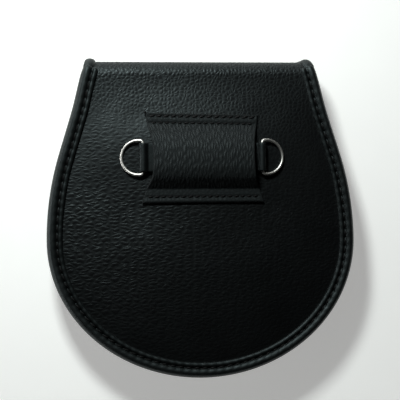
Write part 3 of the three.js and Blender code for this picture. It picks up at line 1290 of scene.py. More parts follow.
@dataclass
class PouchSheet:
    """The back panel and flap: one sheet of milled hide, cut once and folded over the top."""

    palette: Palette
    back_inset: float = 3.6
    flap_inset: float = 2.2
    columns: int = 224
    rows: tuple[int, int, int, int, int] = (9, 196, 45, 88, 8)
    rounded_ends: tuple[float, float] = (7.0, 5.0)
    coarse: int = 4

    def lengths(self) -> np.ndarray:
        """Places the mesh's rows, closer together on the back, which shows most.

        Returns:
            Their lengths along the sheet.
        """
        start = BACK.inset(self.back_inset).bottom_y
        near, far = self.rounded_ends
        in_first, in_back, in_fold, in_flap, in_last = self.rows
        first = start + near * (1 - np.cos(np.linspace(0, math.pi / 2, in_first)))
        back = np.linspace(start + near, SHEET.upper_start, in_back)[1:]
        fold = np.linspace(SHEET.upper_start, SHEET.lower_end, in_fold)[1:]
        end = float(SHEET.flap_length(FLAP.inset(self.flap_inset).bottom_y))
        flap = np.linspace(SHEET.lower_end, end - far, in_flap)[1:]
        last = end - far * (1 - np.sin(np.linspace(0, math.pi / 2, in_last)))[1:]
        rows = np.concatenate([first, back, fold, flap, last])
        spare = (len(rows) - 1) % self.coarse
        return rows if not spare else np.delete(rows, np.arange(20, 20 + 2 * spare, 2))

    def face(self, lengths: np.ndarray, shares: np.ndarray, height: float) -> tuple[np.ndarray, np.ndarray]:
        """One face of the sheet.

        Args:
            lengths: The rows.
            shares: The columns, as shares of the half width.
            height: The face's height over the outer face.

        Returns:
            The points, and where they lie on the flat leather.
        """
        half = SHEET.edge_half(lengths, self.back_inset, self.flap_inset)
        x = half[:, None] * shares
        length = lengths[:, None] + 0 * x
        y = SHEET.along(length)[0]
        crown = np.where(length < SHEET.upper_start, SHEET.crown * SHEET.fullness(x, y), 0.0)
        places = SHEET.over(x, length, height + crown + self.sag(x, length), SHEET.flap_lift(x, y))
        return places, np.stack([x, length], axis=-1)

    @staticmethod
    def sag(x: np.ndarray, y: np.ndarray) -> np.ndarray:
        """Shallow waves that the leather has taken in use, and dents at the belt loop's corners.

        Args:
            x: How far across the sheet each point is.
            y: How far along it.

        Returns:
            The height that they add.
        """
        free = (1 - ease(y, 70, 92)) * ease(SHEET.fullness(x, np.minimum(y, 92.0)), 0.02, 0.35)
        waves = 0.14 * np.sin(x / 17.0 + y / 31.0 + 0.7) * np.sin(y / 13.0 - x / 61.0)
        waves += 0.08 * np.sin(x / 9.0 - y / 14.0) * np.sin(y / 7.5 + x / 23.0 + 1.1)
        for depth, (at_x, at_y), (wide, tall) in DENTS:
            waves = waves - depth * bell(np.abs(x), at_x, wide) * bell(y, at_y, tall)
        return np.where(y < SHEET.upper_start, free * waves, 0.0)

    def build(self) -> bpy.types.Object:
        """Builds the sheet.

        Returns:
            The piece.
        """
        solid = Solid()
        lengths = self.lengths()
        shares = np.linspace(-1, 1, self.columns + 1)
        outer, flat = self.face(lengths, shares, 0.0)
        x, y = flat[..., 0], flat[..., 1]
        on_back = 1 - ease(y, SHEET.upper_start - 4, SHEET.upper_end)
        stretch = on_back * (1 - ease(y + 0.18 * x, 30, 76)) * (0.55 + 0.45 * ease(-x, -60, 60))
        over_fold = 1 - ease(y, SHEET.lower_start, SHEET.lower_end)
        wear = 0.25 + 0.75 * ease(y, SHEET.upper_start - 2, SHEET.upper_start + 8) * over_fold
        rippled = (1 - ease(y, 2, 34)) * (0.4 + 0.6 * ease(y, -80, -40))
        relief = 0.5 + 0.4 * rippled + 0.4 * ease(y, 88, 96)
        top = solid.points(outer, flat, relief=relief, stretch=stretch, wear=wear)
        solid.quads(top)
        inner, flat = self.face(lengths[:: self.coarse], shares[:: self.coarse], -SHEET.thickness)
        under = solid.points(inner, flat)
        solid.quads(under, finish=1)
        for fine, rough in (
            (top[:, 0], under[:, 0]),
            (top[:, -1], under[:, -1]),
            (top[0], under[0]),
            (top[-1], under[-1]),
        ):
            solid.bridge(fine, rough, finish=1)
        return place(
            "back_and_flap_hide",
            solid,
            [self.palette.pebbled, self.palette.flesh],
            ("back_and_flap",),
            grain=self.palette.grain,
        )


# Where a binding's face is higher than SIDE_H it is over the sheet. Its inner face lies LAID_H over it.
SIDE_H = -0.4
LAID_H = 0.12


@dataclass
class Binding:
    """A strip of smooth hide folded over an edge: a full roll, a stitched valley and a raised lip."""

    palette: Palette
    name: str
    seam: Seam
    face: list[tuple[float, float]]
    wall: float
    stitch_inset: float
    lip_inset: float
    stitching: Stitching
    row: tuple[float, float]
    under_row: float
    end_swell: float = 0.0
    plain_to: tuple[float, float] | None = None
    end_round: float = 1.2
    end_size: float = 0.86
    core: tuple[float, float] = (4.6, -1.6)

    def section(self) -> tuple[np.ndarray, np.ndarray]:
        """The strip's section.

        Returns:
            Its outer and its inner line, as distances in from the edge and heights over the sheet.
        """
        outer = evenly(curve(self.face), 60)
        way = directions(outer)
        inner = outer + np.stack([-way[:, 1], way[:, 0]], axis=-1) * self.wall
        if np.hypot(*(inner[30] - np.array(self.core))) > np.hypot(*(outer[30] - np.array(self.core))):
            inner = 2 * outer - inner
        on_top = outer[:, 1] > SIDE_H
        inner[on_top, 1] = np.minimum(inner[on_top, 1], LAID_H)
        far = (outer[:, 0] > self.stitch_inset - 1.2) & on_top
        inner[far] = np.stack([outer[far, 0], np.full(far.sum(), LAID_H)], axis=-1)
        return outer, inner

    def leather(self) -> bpy.types.Object:
        """Builds the folded strip.

        Returns:
            The piece.
        """
        outer, inner = self.section()
        run = self.seam.run
        holes = self.stitching.holes(*self.row)
        nearest = np.abs(run[:, None] - holes[None]).min(1)
        near = bell(nearest, 0.0, 0.75)[:, None]
        full = 1 - bell(nearest, 0.0, 0.3 * self.stitching.pitch)[:, None]
        u, h = outer[None, :, 0], outer[None, :, 1]
        upper = ease(h, -1.0, 0.4)
        pull = bell(u, self.stitch_inset, 0.7) * upper
        lip = bell(u, self.lip_inset, 1.5) * upper
        shoulder = bell(u, self.stitch_inset - 1.7, 1.0) * upper
        drift = 0.14 * np.sin(run / 11.0)[:, None] + 0.1 * np.sin(run / 4.7 + 2.0)[:, None]
        end = np.minimum(run, run[-1] - run)[:, None]
        plain = 0.0 if self.plain_to is None else 1 - ease(end, *self.plain_to)
        across = np.clip(u / self.face[0][0], 0, 1)
        dome = np.sqrt(np.clip(1 - (2 * across - 1) ** 2, 0, 1))
        domed = np.where(h > SIDE_H, SIDE_H + (float(h.max()) + 0.55) * dome, h)
        pulls = -1.0 * near * pull + (0.2 * full - 0.12) * lip + (0.22 * full - 0.15) * shoulder
        heights = h + (domed - h) * plain + pulls * (1 - plain) + drift * 0.5 * upper
        insets = u + drift * 0.6 * lip + 0 * heights
        size = self.end_size + (1 - self.end_size) * rounded(end / self.end_round)
        swell = 1 + self.end_swell * (1 - ease(end, 4.0, 24.0))
        solid = Solid()
        faces = []
        inside = (inner[None, :, 0] + 0 * heights, inner[None, :, 1] + 0 * heights)
        for line_u, line_h in ((insets, heights), inside):
            line_u = (self.core[0] + (line_u - self.core[0]) * size) * swell
            line_h = (self.core[1] + (line_h - self.core[1]) * size) * swell
            at_u = self.seam.points[:, None] + self.seam.inward[:, None] * line_u[..., None]
            faces.append(SHEET.over(at_u[..., 0], at_u[..., 1], line_h))
        flat = np.stack(np.broadcast_arrays(run[:, None], travelled(outer)[None]), axis=-1)
        rubbed = bell(u, 2.6, 1.6) * upper + 0 * heights
        top = solid.points(faces[0], flat, wear=rubbed)
        under = solid.points(faces[1], flat)
        solid.quads(top)
        solid.quads(under, finish=1)
        for first, second in ((top[:, 0], under[:, 0]), (top[:, -1], under[:, -1]), (top[0], under[0])):
            solid.strip(first, second)
        solid.strip(top[-1], under[-1])
        finishes = [self.palette.smooth, self.palette.flesh]
        return place(self.name + "_hide", solid, finishes, (self.name,))

    def thread(self) -> bpy.types.Object:
        """Builds the stitches of both sides of the strip.

        Returns:
            The piece.
        """
        outer, _ = self.section()
        holes = self.stitching.holes(*self.row)
        solid = Solid()
        on_top = outer[:, 1] > SIDE_H
        valley = float(np.interp(-self.stitch_inset, -outer[on_top, 0], outer[on_top, 1]))
        rows = (self.stitch_inset, valley, 1.0), (self.under_row, outer[-1, 1], -1.0)
        for inset, height, sign in rows:
            starts, ends = holes[:-1], holes[1:]
            slant = self.stitching.slant / 2
            first = self.seam.at(starts, inset + slant + 0 * starts)
            second = self.seam.at(ends, inset - slant + 0 * ends)
            a = SHEET.over(first[:, 0], first[:, 1], height)
            b = SHEET.over(second[:, 0], second[:, 1], height)
            middle = (first + second) / 2
            _, _, out_y, out_z = SHEET.along(middle[:, 1])
            ups = np.stack([0 * out_y, out_y, out_z], axis=-1) * sign
            self.stitching.sew(solid, a, b, ups)
        return place(self.name + "_stitches", solid, [self.palette.thread])

    def build(self) -> None:
        """Builds the strip and its stitches."""
        self.leather()
        self.thread()


def back_binding(palette: Palette) -> Binding:
    """Lays out the binding of the back's edge.

    Args:
        palette: The pouch's finishes.

    Returns:
        The binding, ready to build.
    """
    y = BACK.heights(98.2, 400, 600)
    on_back = BACK.half_width_at(np.minimum(y, SHEET.upper_start))
    half = np.where(y < SHEET.upper_start, on_back, SHEET.edge_half(y, 0, 0))
    seam = Seam.mirrored(np.stack([half, y], axis=-1), 0.72)
    face = [
        (10.0, 0.15),
        (9.98, 1.1),
        (9.7, 1.75),
        (8.9, 2.2),
        (8.1, 2.3),
        (7.4, 2.1),
        (6.85, 1.7),
        (6.4, 1.5),
        (5.95, 1.75),
        (5.4, 2.3),
        (4.5, 2.8),
        (3.2, 2.95),
        (1.9, 2.45),
        (0.7, 0.7),
        (0.0, -1.9),
        (0.35, -4.1),
        (1.6, -5.6),
        (3.4, -6.2),
        (5.6, -6.2),
        (8.0, -6.2),
    ]
    return Binding(
        palette,
        "back_binding",
        seam,
        face,
        wall=1.4,
        stitch_inset=6.4,
        lip_inset=8.4,
        stitching=Stitching(pitch=5.6, thread=1.2, slant=1.5, rise=0.1, sink=1.3, reach=0.68, seed=3),
        row=(3.6, float(seam.run[-1]) - 3.6),
        under_row=5.75,
    )


def flap_binding(palette: Palette) -> Binding:
    """Lays out the binding of the flap's edge, which starts where the back's ends and goes over the fold.

    Args:
        palette: The pouch's finishes.

    Returns:
        The binding, ready to build.
    """
    start = np.linspace(97.4, SHEET.lower_end, 120)
    flap_y = FLAP.heights(SHEET.fold_y - SHEET.lower_radius, 300, 500)[1:]
    lengths = np.concatenate([start, SHEET.flap_length(flap_y)])
    widths = np.concatenate([SHEET.edge_half(start, 0, 0), FLAP.half_width_at(flap_y)])
    seam = Seam.mirrored(np.stack([widths, lengths], axis=-1), 0.62)
    face = [
        (6.5, 0.15),
        (6.48, 0.75),
        (6.15, 1.3),
        (5.4, 1.6),
        (4.7, 1.4),
        (4.15, 0.95),
        (3.75, 0.8),
        (3.35, 1.05),
        (2.8, 1.5),
        (2.0, 1.72),
        (1.15, 1.4),
        (0.3, 0.2),
        (0.0, -1.0),
        (0.35, -2.4),
        (1.3, -3.2),
        (2.6, -3.45),
        (4.4, -3.45),
        (6.2, -3.45),
    ]
    return Binding(
        palette,
        "flap_binding",
        seam,
        face,
        wall=1.0,
        stitch_inset=3.75,
        lip_inset=5.5,
        stitching=Stitching(pitch=5.0, thread=0.8, slant=0.5, rise=0.2, sink=0.8, reach=0.75, seed=7),
        row=(22.0, float(seam.run[-1]) - 22.0),
        under_row=3.9,
        end_swell=0.1,
        plain_to=(9.0, 20.0),
        core=(3.0, -0.9),
    )


@dataclass
class Gusset:
    """The strip between the two seams, with its edges turned out and a soft inward fold."""

    palette: Palette
    thickness: float = 1.8
    top_y: float = 92.6
    fold_z: float = 17.6
    line: list[tuple[float, float]] = field(
        default_factory=lambda: [
            (3.4, 26.8),
            (7.6, 26.8),
            (9.4, 26.3),
            (10.2, 25.0),
            (10.1, 21.8),
            (9.6, 17.6),
            (10.1, 13.4),
            (10.2, 10.6),
            (9.4, 9.3),
            (7.6, 8.8),
            (4.0, 8.8),
        ]
    )

    def build(self) -> bpy.types.Object:
        """Builds the gusset.

        Returns:
            The piece.
        """
        y = BACK.heights(self.top_y, 300, 500)
        seam = Seam.mirrored(np.stack([BACK.half_width_at(y), y], axis=-1), 1.5)
        middle = evenly(curve(self.line), 30)
        way = directions(middle)
        normal = np.stack([-way[:, 1], way[:, 0]], axis=-1)
        from_end = np.minimum(travelled(middle), travelled(middle)[-1] - travelled(middle))
        half = self.thickness / 2 * rounded(from_end / (self.thickness / 2))
        middle_free = bell(middle[:, 1], self.fold_z, 5.5)
        run = seam.run[:, None]
        sway = (0.45 * np.sin(run / 23.0) + 0.25 * np.sin(run / 9.3 + 1.0)) * middle_free
        solid = Solid()
        rows = []
        for side in (1, -1):
            inset = middle[:, 0] + side * normal[:, 0] * half + sway
            height = middle[:, 1] + side * normal[:, 1] * half + 0 * run
            base = seam.points[:, None] + seam.inward[:, None] * inset[..., None]
            flat = np.stack(np.broadcast_arrays(run, travelled(middle)[None]), axis=-1)
            inside = side * normal[15, 0] > 0
            relief = 0.0 if inside else np.clip(from_end / 2.0, 0, 1) + 0 * run
            xyz = np.concatenate([base, height[..., None]], axis=-1)
            rows.append((inside, solid.points(xyz, flat, relief=relief, stretch=0.3)))
        for inside, index in rows:
            solid.quads(index, finish=int(inside))
        for row in (0, -1):
            solid.strip(rows[0][1][row], rows[1][1][row], finish=1)
        return place(
            "gusset_hide",
            solid,
            [self.palette.pebbled, self.palette.flesh],
            ("gusset",),
            grain=self.palette.grain,
        )


@dataclass
class FrontPanel:
    """The front of the pouch, sewn to the gusset round its edge."""

    palette: Palette
    inset: float = 4.0
    outer_z: float = 5.6
    thickness: float = 2.0
    top_y: float = 85.6
    top_dip: float = 5.0
    seam_top: float = 84.0
    seam_inset: float = 7.3
    stitching: Stitching = Stitching(
        pitch=5.0, thread=0.8, slant=0.0, rise=0.25, sink=0.8, reach=0.75, seed=11
    )

    def leather(self) -> bpy.types.Object:
        """Builds the panel.

        Returns:
            The piece.
        """
        edge = BACK.inset(self.inset)
        shares = np.sin(np.linspace(-math.pi / 2, math.pi / 2, 121))
        shares = 0.25 * shares + 0.75 * np.linspace(-1, 1, 121)
        low = edge.widest_y - edge.bottom_depth * np.cos(np.linspace(0, math.pi / 2, 80))
        high = np.linspace(edge.widest_y, self.top_y, 70)[1:]
        high = np.concatenate([high[:-1], self.top_y - np.array([0.9, 0.5, 0.2, 0.05, 0.0])])
        y = np.concatenate([low, np.unique(high)])
        half = edge.half_width_at(y)
        x = half[:, None] * shares
        rise = np.clip((y - edge.widest_y) / (self.top_y - edge.widest_y), 0, 1) ** 4
        where_y = y[:, None] - self.top_dip * rise[:, None] * (1 - shares**2)
        from_side = (half[:, None] - np.abs(x)) * 0.8
        from_top = self.top_y - y[:, None] + 0 * x
        near = np.clip(np.minimum(from_side, from_top) / (self.thickness / 2), 0, 1)
        middle_z = self.outer_z + self.thickness / 2
        thick = self.thickness / 2 * rounded(near)
        flat = np.stack([x, where_y], axis=-1)
        seam_dip = bell(from_side / 0.8, 3.4, 1.3)
        solid = Solid()
        face = np.stack([x, where_y, middle_z - thick + 0.35 * seam_dip], axis=-1)
        outer = solid.points(face, flat, relief=near * (1 - seam_dip))
        inner = solid.points(np.stack([x, where_y, middle_z + thick], axis=-1), flat)
        solid.quads(outer)
        solid.quads(inner, finish=1)
        return place(
            "front_panel_hide",
            solid,
            [self.palette.pebbled, self.palette.flesh],
            ("front_panel",),
            grain=self.palette.grain,
        )

    def thread(self) -> bpy.types.Object:
        """Builds the stitches that hold the panel to the gusset.

        Returns:
            The piece.
        """
        y = BACK.heights(self.seam_top, 300, 500)
        seam = Seam.mirrored(np.stack([BACK.half_width_at(y), y], axis=-1), 1.0)
        holes = self.stitching.holes(2.0, float(seam.run[-1]) - 2.0)
        solid = Solid()
        for z, sign in ((self.outer_z + 0.3, -1.0), (9.7, 1.0)):
            first = seam.at(holes[:-1], self.seam_inset + 0 * holes[:-1])
            second = seam.at(holes[1:], self.seam_inset + 0 * holes[1:])
            level = np.full((len(first), 1), z)
            ups = np.zeros((len(first), 3)) + [0, 0, sign]
            self.stitching.sew(solid, np.hstack([first, level]), np.hstack([second, level]), ups)
        return place("front_seam_stitches", solid, [self.palette.thread])

    def build(self) -> None:
        """Builds the panel and its stitches."""
        self.leather()
        self.thread()


@dataclass
class BeltLoop:
    """A strip of milled hide sewn to the back along two edges, standing up in an arch between them."""

    palette: Palette
    thickness: float = 1.7
    clear: float = 0.3
    half_width: float = 34.0
    bow: float = 0.3
    sunk: float = 0.15
    slant: float = math.radians(1.1)
    profile: list[tuple[float, float, float]] = field(
        default_factory=lambda: [
            (66.4, 0.0, 36.4),
            (59.6, 0.0, 35.6),
            (55.6, 2.0, 34.5),
            (49.6, 5.6, 33.2),
            (43.1, 7.9, 32.6),
            (36.6, 8.8, 32.5),
            (30.6, 8.8, 32.7),
            (25.6, 7.3, 33.4),
            (21.4, 3.2, 35.0),
            (18.0, 0.0, 36.6),
            (9.1, 0.0, 39.5),
        ]
    )
    upper_row: Stitching = Stitching(
        pitch=4.5, thread=1.5, slant=2.0, rise=0.05, sink=1.3, reach=0.66, seed=21
    )
    lower_row: Stitching = Stitching(
        pitch=4.1, thread=1.05, slant=0.5, rise=0.3, sink=1.0, reach=0.5, seed=22
    )
    foot_row: Stitching = Stitching(
        pitch=4.3, thread=1.15, slant=0.9, rise=0.3, sink=1.0, reach=0.5, seed=23
    )
    row_places: tuple[float, float, float] = (1.9, 6.2, 4.0)

    def __post_init__(self) -> None:
        """Draws the strip's line once."""
        line = curve(self.profile, 24)
        line[:, 1] = np.maximum(line[:, 1], 0.0) + self.thickness / 2 + self.clear
        side = line[:, :2]
        self.run = travelled(side)
        self.line = line
        way = directions(side)
        self.normal = np.stack([way[:, 1], -way[:, 0]], axis=-1)
        if self.normal[0, 1] < 0:
            self.normal = -self.normal
        self.total = float(self.run[-1])

    def over(self, x_share: np.ndarray, run: np.ndarray, height: np.ndarray | float) -> np.ndarray:
        """Points over the strip's middle surface.

        Args:
            x_share: How far across it each is, from -1 to 1.
            run: How far down it, from its upper edge.
            height: How high over its middle surface.

        Returns:
            The points.
        """
        y, rise, half = (np.interp(run, self.run, self.line[:, k]) for k in range(3))
        out_y, out_z = (np.interp(run, self.run, self.normal[:, k]) for k in range(2))
        x = x_share * half
        y = y + out_y * height
        rise = rise + out_z * height
        top, foot = self.profile[0][0], self.profile[-1][0]
        share = (y - foot) / (top - foot)
        slanted = y - x * math.tan(self.slant) * share
        bow = self.bow * np.sin(math.pi * np.clip(run / self.total, 0, 1)) * np.cos(x_share * math.pi / 2)
        z = SHEET.back_z(x, slanted) + rise + bow
        return np.stack(np.broadcast_arrays(x, slanted, z), axis=-1)

    def leather(self) -> bpy.types.Object:
        """Builds the strip.

        Returns:
            The piece.
        """
        end = np.array([0, 0.06, 0.2, 0.42, 0.68, 1.0]) * self.thickness / 2
        down, aside, half = 0.5, 0.55, self.half_width
        between = np.arange(end[-1] + down, self.total - end[-1] - 0.2, down)
        run = np.concatenate([end, between, self.total - end[::-1]])
        between = np.arange(-half + end[-1] + aside, half - end[-1] - 0.2, aside)
        across = np.concatenate([-half + end, between, half - end[::-1]])
        share = across[None] / half
        rows = run[:, None]
        edge = np.minimum(np.minimum(half - np.abs(across)[None], rows), self.total - rows)
        near = np.clip(edge / (self.thickness / 2), 0, 1)
        thick = self.thickness / 2 * rounded(near)
        upper, lower, foot = self.row_places
        places = ((upper, 0.75, 0.55), (lower, 0.5, 0.35), (self.total - foot, 0.6, 0.35))
        groove = sum(depth * bell(rows, at_run, wide) for at_run, wide, depth in places)
        pad = 0.3 * bell(rows, (upper + lower) / 2, 1.3) + 0.35 * bell(rows, self.total - 1.3, 0.9)
        top = thick + (pad - groove) * near * ease(half - np.abs(across)[None], 0.4, 2.5)
        flat = np.stack(np.broadcast_arrays(rows, across[None]), axis=-1)
        arch = ease(rows, 6.0, 8.5) * (1 - ease(rows, self.total - 10.5, self.total - 8.0))
        solid = Solid()
        outer = solid.points(
            self.over(share, rows, top),
            flat,
            relief=np.clip((edge - 0.6) / 1.2, 0, 1) * (0.4 + 0.6 * arch),
            stretch=0.25 + 0.75 * arch + 0 * thick,
            wear=0.9 * bell(edge, 0.0, 0.9) + 0 * thick,
        )
        inner = solid.points(self.over(share, rows, -thick), flat)
        solid.quads(outer)
        solid.quads(inner, finish=1)
        return place(
            "belt_loop_hide",
            solid,
            [self.palette.pulled, self.palette.flesh],
            ("belt_loop",),
            grain=PULLED_HIDE.grain,
        )

    def thread(self) -> bpy.types.Object:
        """Builds the three rows of stitches, and the sealed end of the thread at the upper left corner.

        Returns:
            The piece.
        """
        solid = Solid()
        upper, lower, foot = self.row_places
        rows = (
            (self.upper_row, upper, 1.6),
            (self.lower_row, lower, 2.6),
            (self.foot_row, self.total - foot, 2.2),
        )
        for stitching, run, margin in rows:
            half = float(np.interp(run, self.run, self.line[:, 2])) - margin
            holes = stitching.holes(-half, half)
            slant = stitching.slant / 2
            full = half + margin
            first = self.over(holes[:-1] / full, run + slant, self.thickness / 2 - self.sunk)
            second = self.over(holes[1:] / full, run - slant, self.thickness / 2 - self.sunk)
            above = self.over((holes[:-1] + holes[1:]) / 2 / full, run, self.thickness / 2 + 1.0)
            below = self.over((holes[:-1] + holes[1:]) / 2 / full, run, self.thickness / 2)
            ups = above - below
            stitching.sew(solid, first, second, ups / np.linalg.norm(ups, axis=1, keepdims=True))
        self.sealed_end(solid)
        return place("belt_loop_stitches", solid, [self.palette.thread])

    def sealed_end(self, solid: Solid) -> None:
        """Adds the melted bead that ends the thread.

        Args:
            solid: What the bead is added to.
        """
        middle = self.over(np.array(-1.0), np.array(0.2), self.thickness / 2 + 0.1) + [-0.3, 0.5, 0]
        turn = np.linspace(0, math.pi, 9)
        line = middle + np.stack([0 * turn, 0 * turn, -0.75 * np.cos(turn)], axis=-1)
        circle = unit_circle(12)
        girth = 0.05 + 0.8 * np.sin(turn)
        ones = np.ones((9, 1))
        solid.sweep(line, ones * [1, 0, 0], ones * [0, 1, 0], circle * girth[:, None, None])

    def build(self) -> None:
        """Builds the strip and its stitches."""
        self.leather()
        self.thread()


@dataclass
class RingStrap:
    """A strap of smooth hide through the belt loop, turned back over the bar of a D-ring at each end."""

    palette: Palette
    y: float = 38.2
    width: float = 18.2
    thickness: float = 1.3
    gap: float = 0.5
    level_to: float = 12.0
    bar_x: float = 38.5
    wire: float = 1.9
    play: float = 0.3
    layers_gap: float = 0.12
    lower_x: tuple[float, ...] = (22.0, 27.0, 31.0, 34.5)
    upper_x: tuple[float, ...] = (33.4, 28.0, 24.0, 21.0)
    fall_x: float = 35.6

    @property
    def bar_z(self) -> float:
        """The height of the middle of a D-ring's bar.

        Returns:
            Its Z.
        """
        outer = self.wire / 2 + self.play + self.thickness
        return float(SHEET.back_z(self.bar_x, self.y)) + self.gap + outer

    def half_line(self) -> np.ndarray:
        """The strap's middle line, from the tunnel's middle to the end that is turned back over the bar.

        Returns:
            The line's X and Z.
        """
        half = self.thickness / 2
        reach = self.wire / 2 + self.play + half

        def lower(x: float) -> float:
            """Works out the height of the lower layer's middle.

            Args:
                x: How far across.

            Returns:
                Its Z.
            """
            return float(SHEET.back_z(x, self.y)) + self.gap + half

        level = lower(0.0)
        points = [(0.0, level), (6.0, level), (self.level_to, level - 0.02)]
        points += [(x, lower(x)) for x in self.lower_x]
        turn = np.linspace(-math.pi / 2, math.pi / 2 + 0.7, 11)
        points += [(self.bar_x + reach * math.cos(t), self.bar_z + reach * math.sin(t)) for t in turn]
        step = self.thickness + self.layers_gap
        points.append((self.fall_x, lower(self.fall_x) + step + 0.25))
        points += [(x, lower(x) + step) for x in self.upper_x]
        return curve(points, 10)

    def build(self) -> bpy.types.Object:
        """Builds the strap.

        Returns:
            The piece.
        """
        right = self.half_line()
        whole = np.vstack([(right * [-1, 1])[::-1][:-1], right])
        line = evenly(whole, 420)
        centres = np.stack([line[:, 0], np.full(len(line), self.y), line[:, 1]], axis=-1)
        way = directions(centres)
        across = np.zeros_like(centres) + [0.0, 1.0, 0.0]
        up = np.cross(across, way)
        corner = 0.5
        turn = np.linspace(0, math.pi / 2, 5)
        wide, tall = self.width / 2 - corner, self.thickness / 2 - corner
        section = np.concatenate(
            [
                np.stack([wide + corner * np.cos(turn), tall + corner * np.sin(turn)], axis=-1),
                np.stack([np.linspace(wide, -wide, 15)[1:-1], np.full(13, self.thickness / 2)], axis=-1),
                np.stack([-wide - corner * np.sin(turn), tall + corner * np.cos(turn)], axis=-1),
                np.stack([-wide - corner * np.cos(turn), -tall - corner * np.sin(turn)], axis=-1),
                np.stack([np.linspace(-wide, wide, 15)[1:-1], np.full(13, -self.thickness / 2)], axis=-1),
                np.stack([wide + corner * np.sin(turn), -tall - corner * np.cos(turn)], axis=-1),
            ]
        )
        solid = Solid()
        solid.sweep(centres, across, up, section)
        return place("ring_strap_hide", solid, [self.palette.smooth], ("ring_strap",))


@dataclass
class DRing:
    """A D-ring bent from drawn steel wire: a bar in the strap's fold and a round bow outside it."""

    palette: Palette
    side: Side
    strap: RingStrap
    radius: float = 11.0
    arc_x: float = 3.0
    corner: float = 2.0
    rest_gap: float = 0.3

    def path(self) -> np.ndarray:
        """The wire's middle line, with its bar on the second axis and its bow towards the first.

        Returns:
            Evenly spaced points, of which the last joins the first.
        """
        within = self.radius - self.corner
        corner_y = math.sqrt(within**2 - (self.arc_x - self.corner) ** 2)
        meets = math.atan2(corner_y, self.corner - self.arc_x)
        bar = np.stack([np.zeros(30), np.linspace(0, corner_y, 30)], axis=-1)
        small = np.linspace(math.pi, meets, 20)
        upper = np.stack([np.cos(small), np.sin(small)], axis=-1) * self.corner + [self.corner, corner_y]
        large = np.linspace(meets, 0, 90)
        bow = np.stack([self.arc_x + self.radius * np.cos(large), self.radius * np.sin(large)], axis=-1)
        half = np.vstack([bar, upper[1:], bow[1:]])
        whole = np.vstack([half, (half * [1, -1])[::-1][1:]])
        return evenly(whole, 201)[:-1]

    def build(self) -> bpy.types.Object:
        """Builds the ring, lying with its bow on the back.

        Returns:
            The piece.
        """
        bar_x, bar_z = self.strap.bar_x, self.strap.bar_z
        bow_x = self.arc_x + self.radius
        rests_at = float(SHEET.back_z(bar_x + bow_x, self.strap.y)) + self.rest_gap + self.strap.wire / 2
        dip = math.asin((bar_z - rests_at) / bow_x)
        flat = self.path()
        run = np.stack([np.roll(flat[:, k], -1) - np.roll(flat[:, k], 1) for k in (0, 1)], axis=-1)
        run /= np.linalg.norm(run, axis=1, keepdims=True)
        side = self.side.value
        out = np.array([side * math.cos(dip), 0.0, -math.sin(dip)])
        normal = np.array([side * math.sin(dip), 0.0, math.cos(dip)])
        level = np.array([0.0, 1.0, 0.0])
        middle = np.array([side * bar_x, self.strap.y, bar_z])
        centres = middle + flat[:, :1] * out + flat[:, 1:] * level
        across = -run[:, 1:] * out + run[:, :1] * level
        circle = unit_circle(24) * self.strap.wire / 2
        solid = Solid()
        solid.sweep(centres, across, np.zeros_like(centres) + normal, circle, closed=True)
        name = "ring_" + self.side.name.lower()
        body = self.side.name.lower() + "_ring"
        return place(name + "_wire", solid, [self.palette.plated], (name,), body)


@dataclass
class PressStud:
    """The closed press stud between flap and front panel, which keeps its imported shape."""

    palette: Palette

    def build(self) -> None:
        """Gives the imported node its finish."""
        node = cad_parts["press_stud"]
        node.data.materials.clear()
        node.data.materials.append(self.palette.plated)
        LOG.info("press_stud: packed shape kept")


# ------------------------------------------------------------ the studio


@dataclass
class Softbox:
    """A soft studio light that looks at a point."""

    name: str
    place_mm: tuple[float, float, float]
    size_mm: tuple[float, float]
    watts: float
    hex_colour: str = "#ffffff"
    looks_at_mm: tuple[float, float, float] = (0.0, 0.0, 30.0)

    def build(self) -> bpy.types.Object:
        """Makes the light.

        Returns:
            The light.
        """
        data = bpy.data.lights.new(self.name, "AREA")
        data.shape = "RECTANGLE"
        data.size, data.size_y = (s * MM for s in self.size_mm)
        data.energy = self.watts
        data.color = linear(self.hex_colour)[:3]
        lamp = bpy.data.objects.new(self.name, data)
        bpy.context.scene.collection.objects.link(lamp)
        lamp.location = Vector(self.place_mm) * MM
        back = Vector(self.place_mm) - Vector(self.looks_at_mm)
        lamp.rotation_mode = "QUATERNION"
        lamp.rotation_quaternion = back.to_track_quat("Z", "Y")
        return lamp


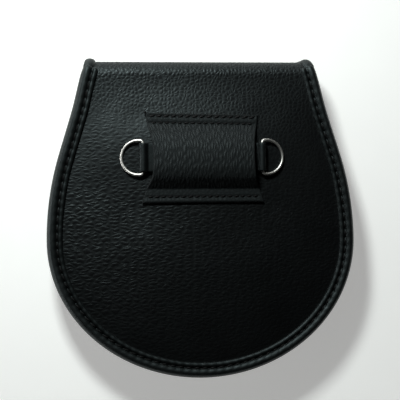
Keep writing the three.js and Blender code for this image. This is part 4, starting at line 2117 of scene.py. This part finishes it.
@dataclass
class Studio:
    """The board, the lights and the camera."""

    board_mm: float = 3000.0
    camera_tilt: float = math.radians(7.36)
    camera_pitch: float = math.radians(1.91)
    camera_roll: float = math.radians(-0.85)
    distance_mm: float = 800.0
    aim_mm: tuple[float, float, float] = (-1.5, 11.0, 30.0)
    field_mm: float = 258.1
    sensor_mm: float = 36.0

    def board(self) -> None:
        """Lays the board under the pouch."""
        half = self.board_mm / 2 * MM
        mesh = bpy.data.meshes.new("board")
        work = bmesh.new()
        square = ((-1, -1), (1, -1), (1, 1), (-1, 1))
        work.faces.new([work.verts.new((x * half, y * half, 0.0)) for x, y in square])
        work.to_mesh(mesh)
        work.free()
        mesh.materials.append(PaintedBoard().material())
        board = bpy.data.objects.new("board", mesh)
        bpy.context.scene.collection.objects.link(board)

    def lights(self) -> None:
        """Hangs the lights and sets the room's own light."""
        Softbox("key", (-172.0, 380.0, 440.0), (110.0, 90.0), 3.25, "#f6fdfb").build()
        world = bpy.data.worlds.new("room")
        world.use_nodes = True
        tree = world.node_tree
        tree.nodes.clear()
        # Pale walls round a dark ceiling light the board and the rings from low down, and the leather
        # stays dark. They are brightest on the left, where a window would be.
        way = add(tree, "ShaderNodeTexCoord").outputs["Generated"]
        level = add(tree, "ShaderNodeSeparateXYZ", {}, {0: way}).outputs["Z"]
        wall = add(
            tree,
            "ShaderNodeMapRange",
            {"interpolation_type": "SMOOTHSTEP"},
            {0: level, 1: 0.05, 2: 0.24, 3: 3.0, 4: 0.008},
        ).outputs[0]
        facing = add(
            tree, "ShaderNodeVectorMath", {"operation": "DOT_PRODUCT"}, {0: way, 1: (-0.87, 0.5, 0.0)}
        ).outputs["Value"]
        window = add(
            tree,
            "ShaderNodeMapRange",
            {"interpolation_type": "SMOOTHSTEP"},
            {0: facing, 1: 0.1, 2: 0.85, 3: 0.02, 4: 2.9},
        ).outputs[0]
        strength = add(tree, "ShaderNodeMath", {"operation": "MULTIPLY"}, {0: wall, 1: window}).outputs[0]
        light = add(tree, "ShaderNodeBackground", {}, {"Color": linear("#f4f6f6"), "Strength": strength})
        add(tree, "ShaderNodeOutputWorld", {}, {"Surface": light.outputs[0]})
        bpy.context.scene.world = world

    def camera(self) -> None:
        """Sets up the camera over the pouch, tilted a little to its left."""
        data = bpy.data.cameras.new("camera")
        data.sensor_width = self.sensor_mm
        data.lens = self.sensor_mm * self.distance_mm / self.field_mm
        data.clip_start, data.clip_end = 0.01, 10.0
        camera = bpy.data.objects.new("camera", data)
        bpy.context.scene.collection.objects.link(camera)
        tilt, pitch = self.camera_tilt, self.camera_pitch
        level_part = math.cos(pitch)
        back = Vector((-math.sin(tilt) * level_part, -math.sin(pitch), math.cos(tilt) * level_part))
        level = Vector((0.0, 1.0, 0.0)).cross(back).normalized()
        right = Matrix.Rotation(self.camera_roll, 3, back) @ level
        up = back.cross(right)
        spot = (Vector(self.aim_mm) + back * self.distance_mm) * MM
        turned = Matrix((right, up, back)).transposed().to_4x4()
        camera.matrix_world = Matrix.Translation(spot) @ turned
        bpy.context.scene.camera = camera

    def build(self) -> None:
        """Sets up all of it."""
        self.board()
        self.lights()
        self.camera()
        bpy.context.scene.view_settings.view_transform = "Standard"


def main() -> None:
    """Builds the pouch piece by piece, then the studio."""
    logging.basicConfig(level=logging.INFO, format="%(name)s: %(message)s")
    palette = Palette()
    PouchSheet(palette).build()
    back_binding(palette).build()
    flap_binding(palette).build()
    Gusset(palette).build()
    FrontPanel(palette).build()
    BeltLoop(palette).build()
    strap = RingStrap(palette)
    strap.build()
    for side in Side:
        DRing(palette, side, strap).build()
    PressStud(palette).build()
    Studio().build()


if __name__ == "__main__":
    main()
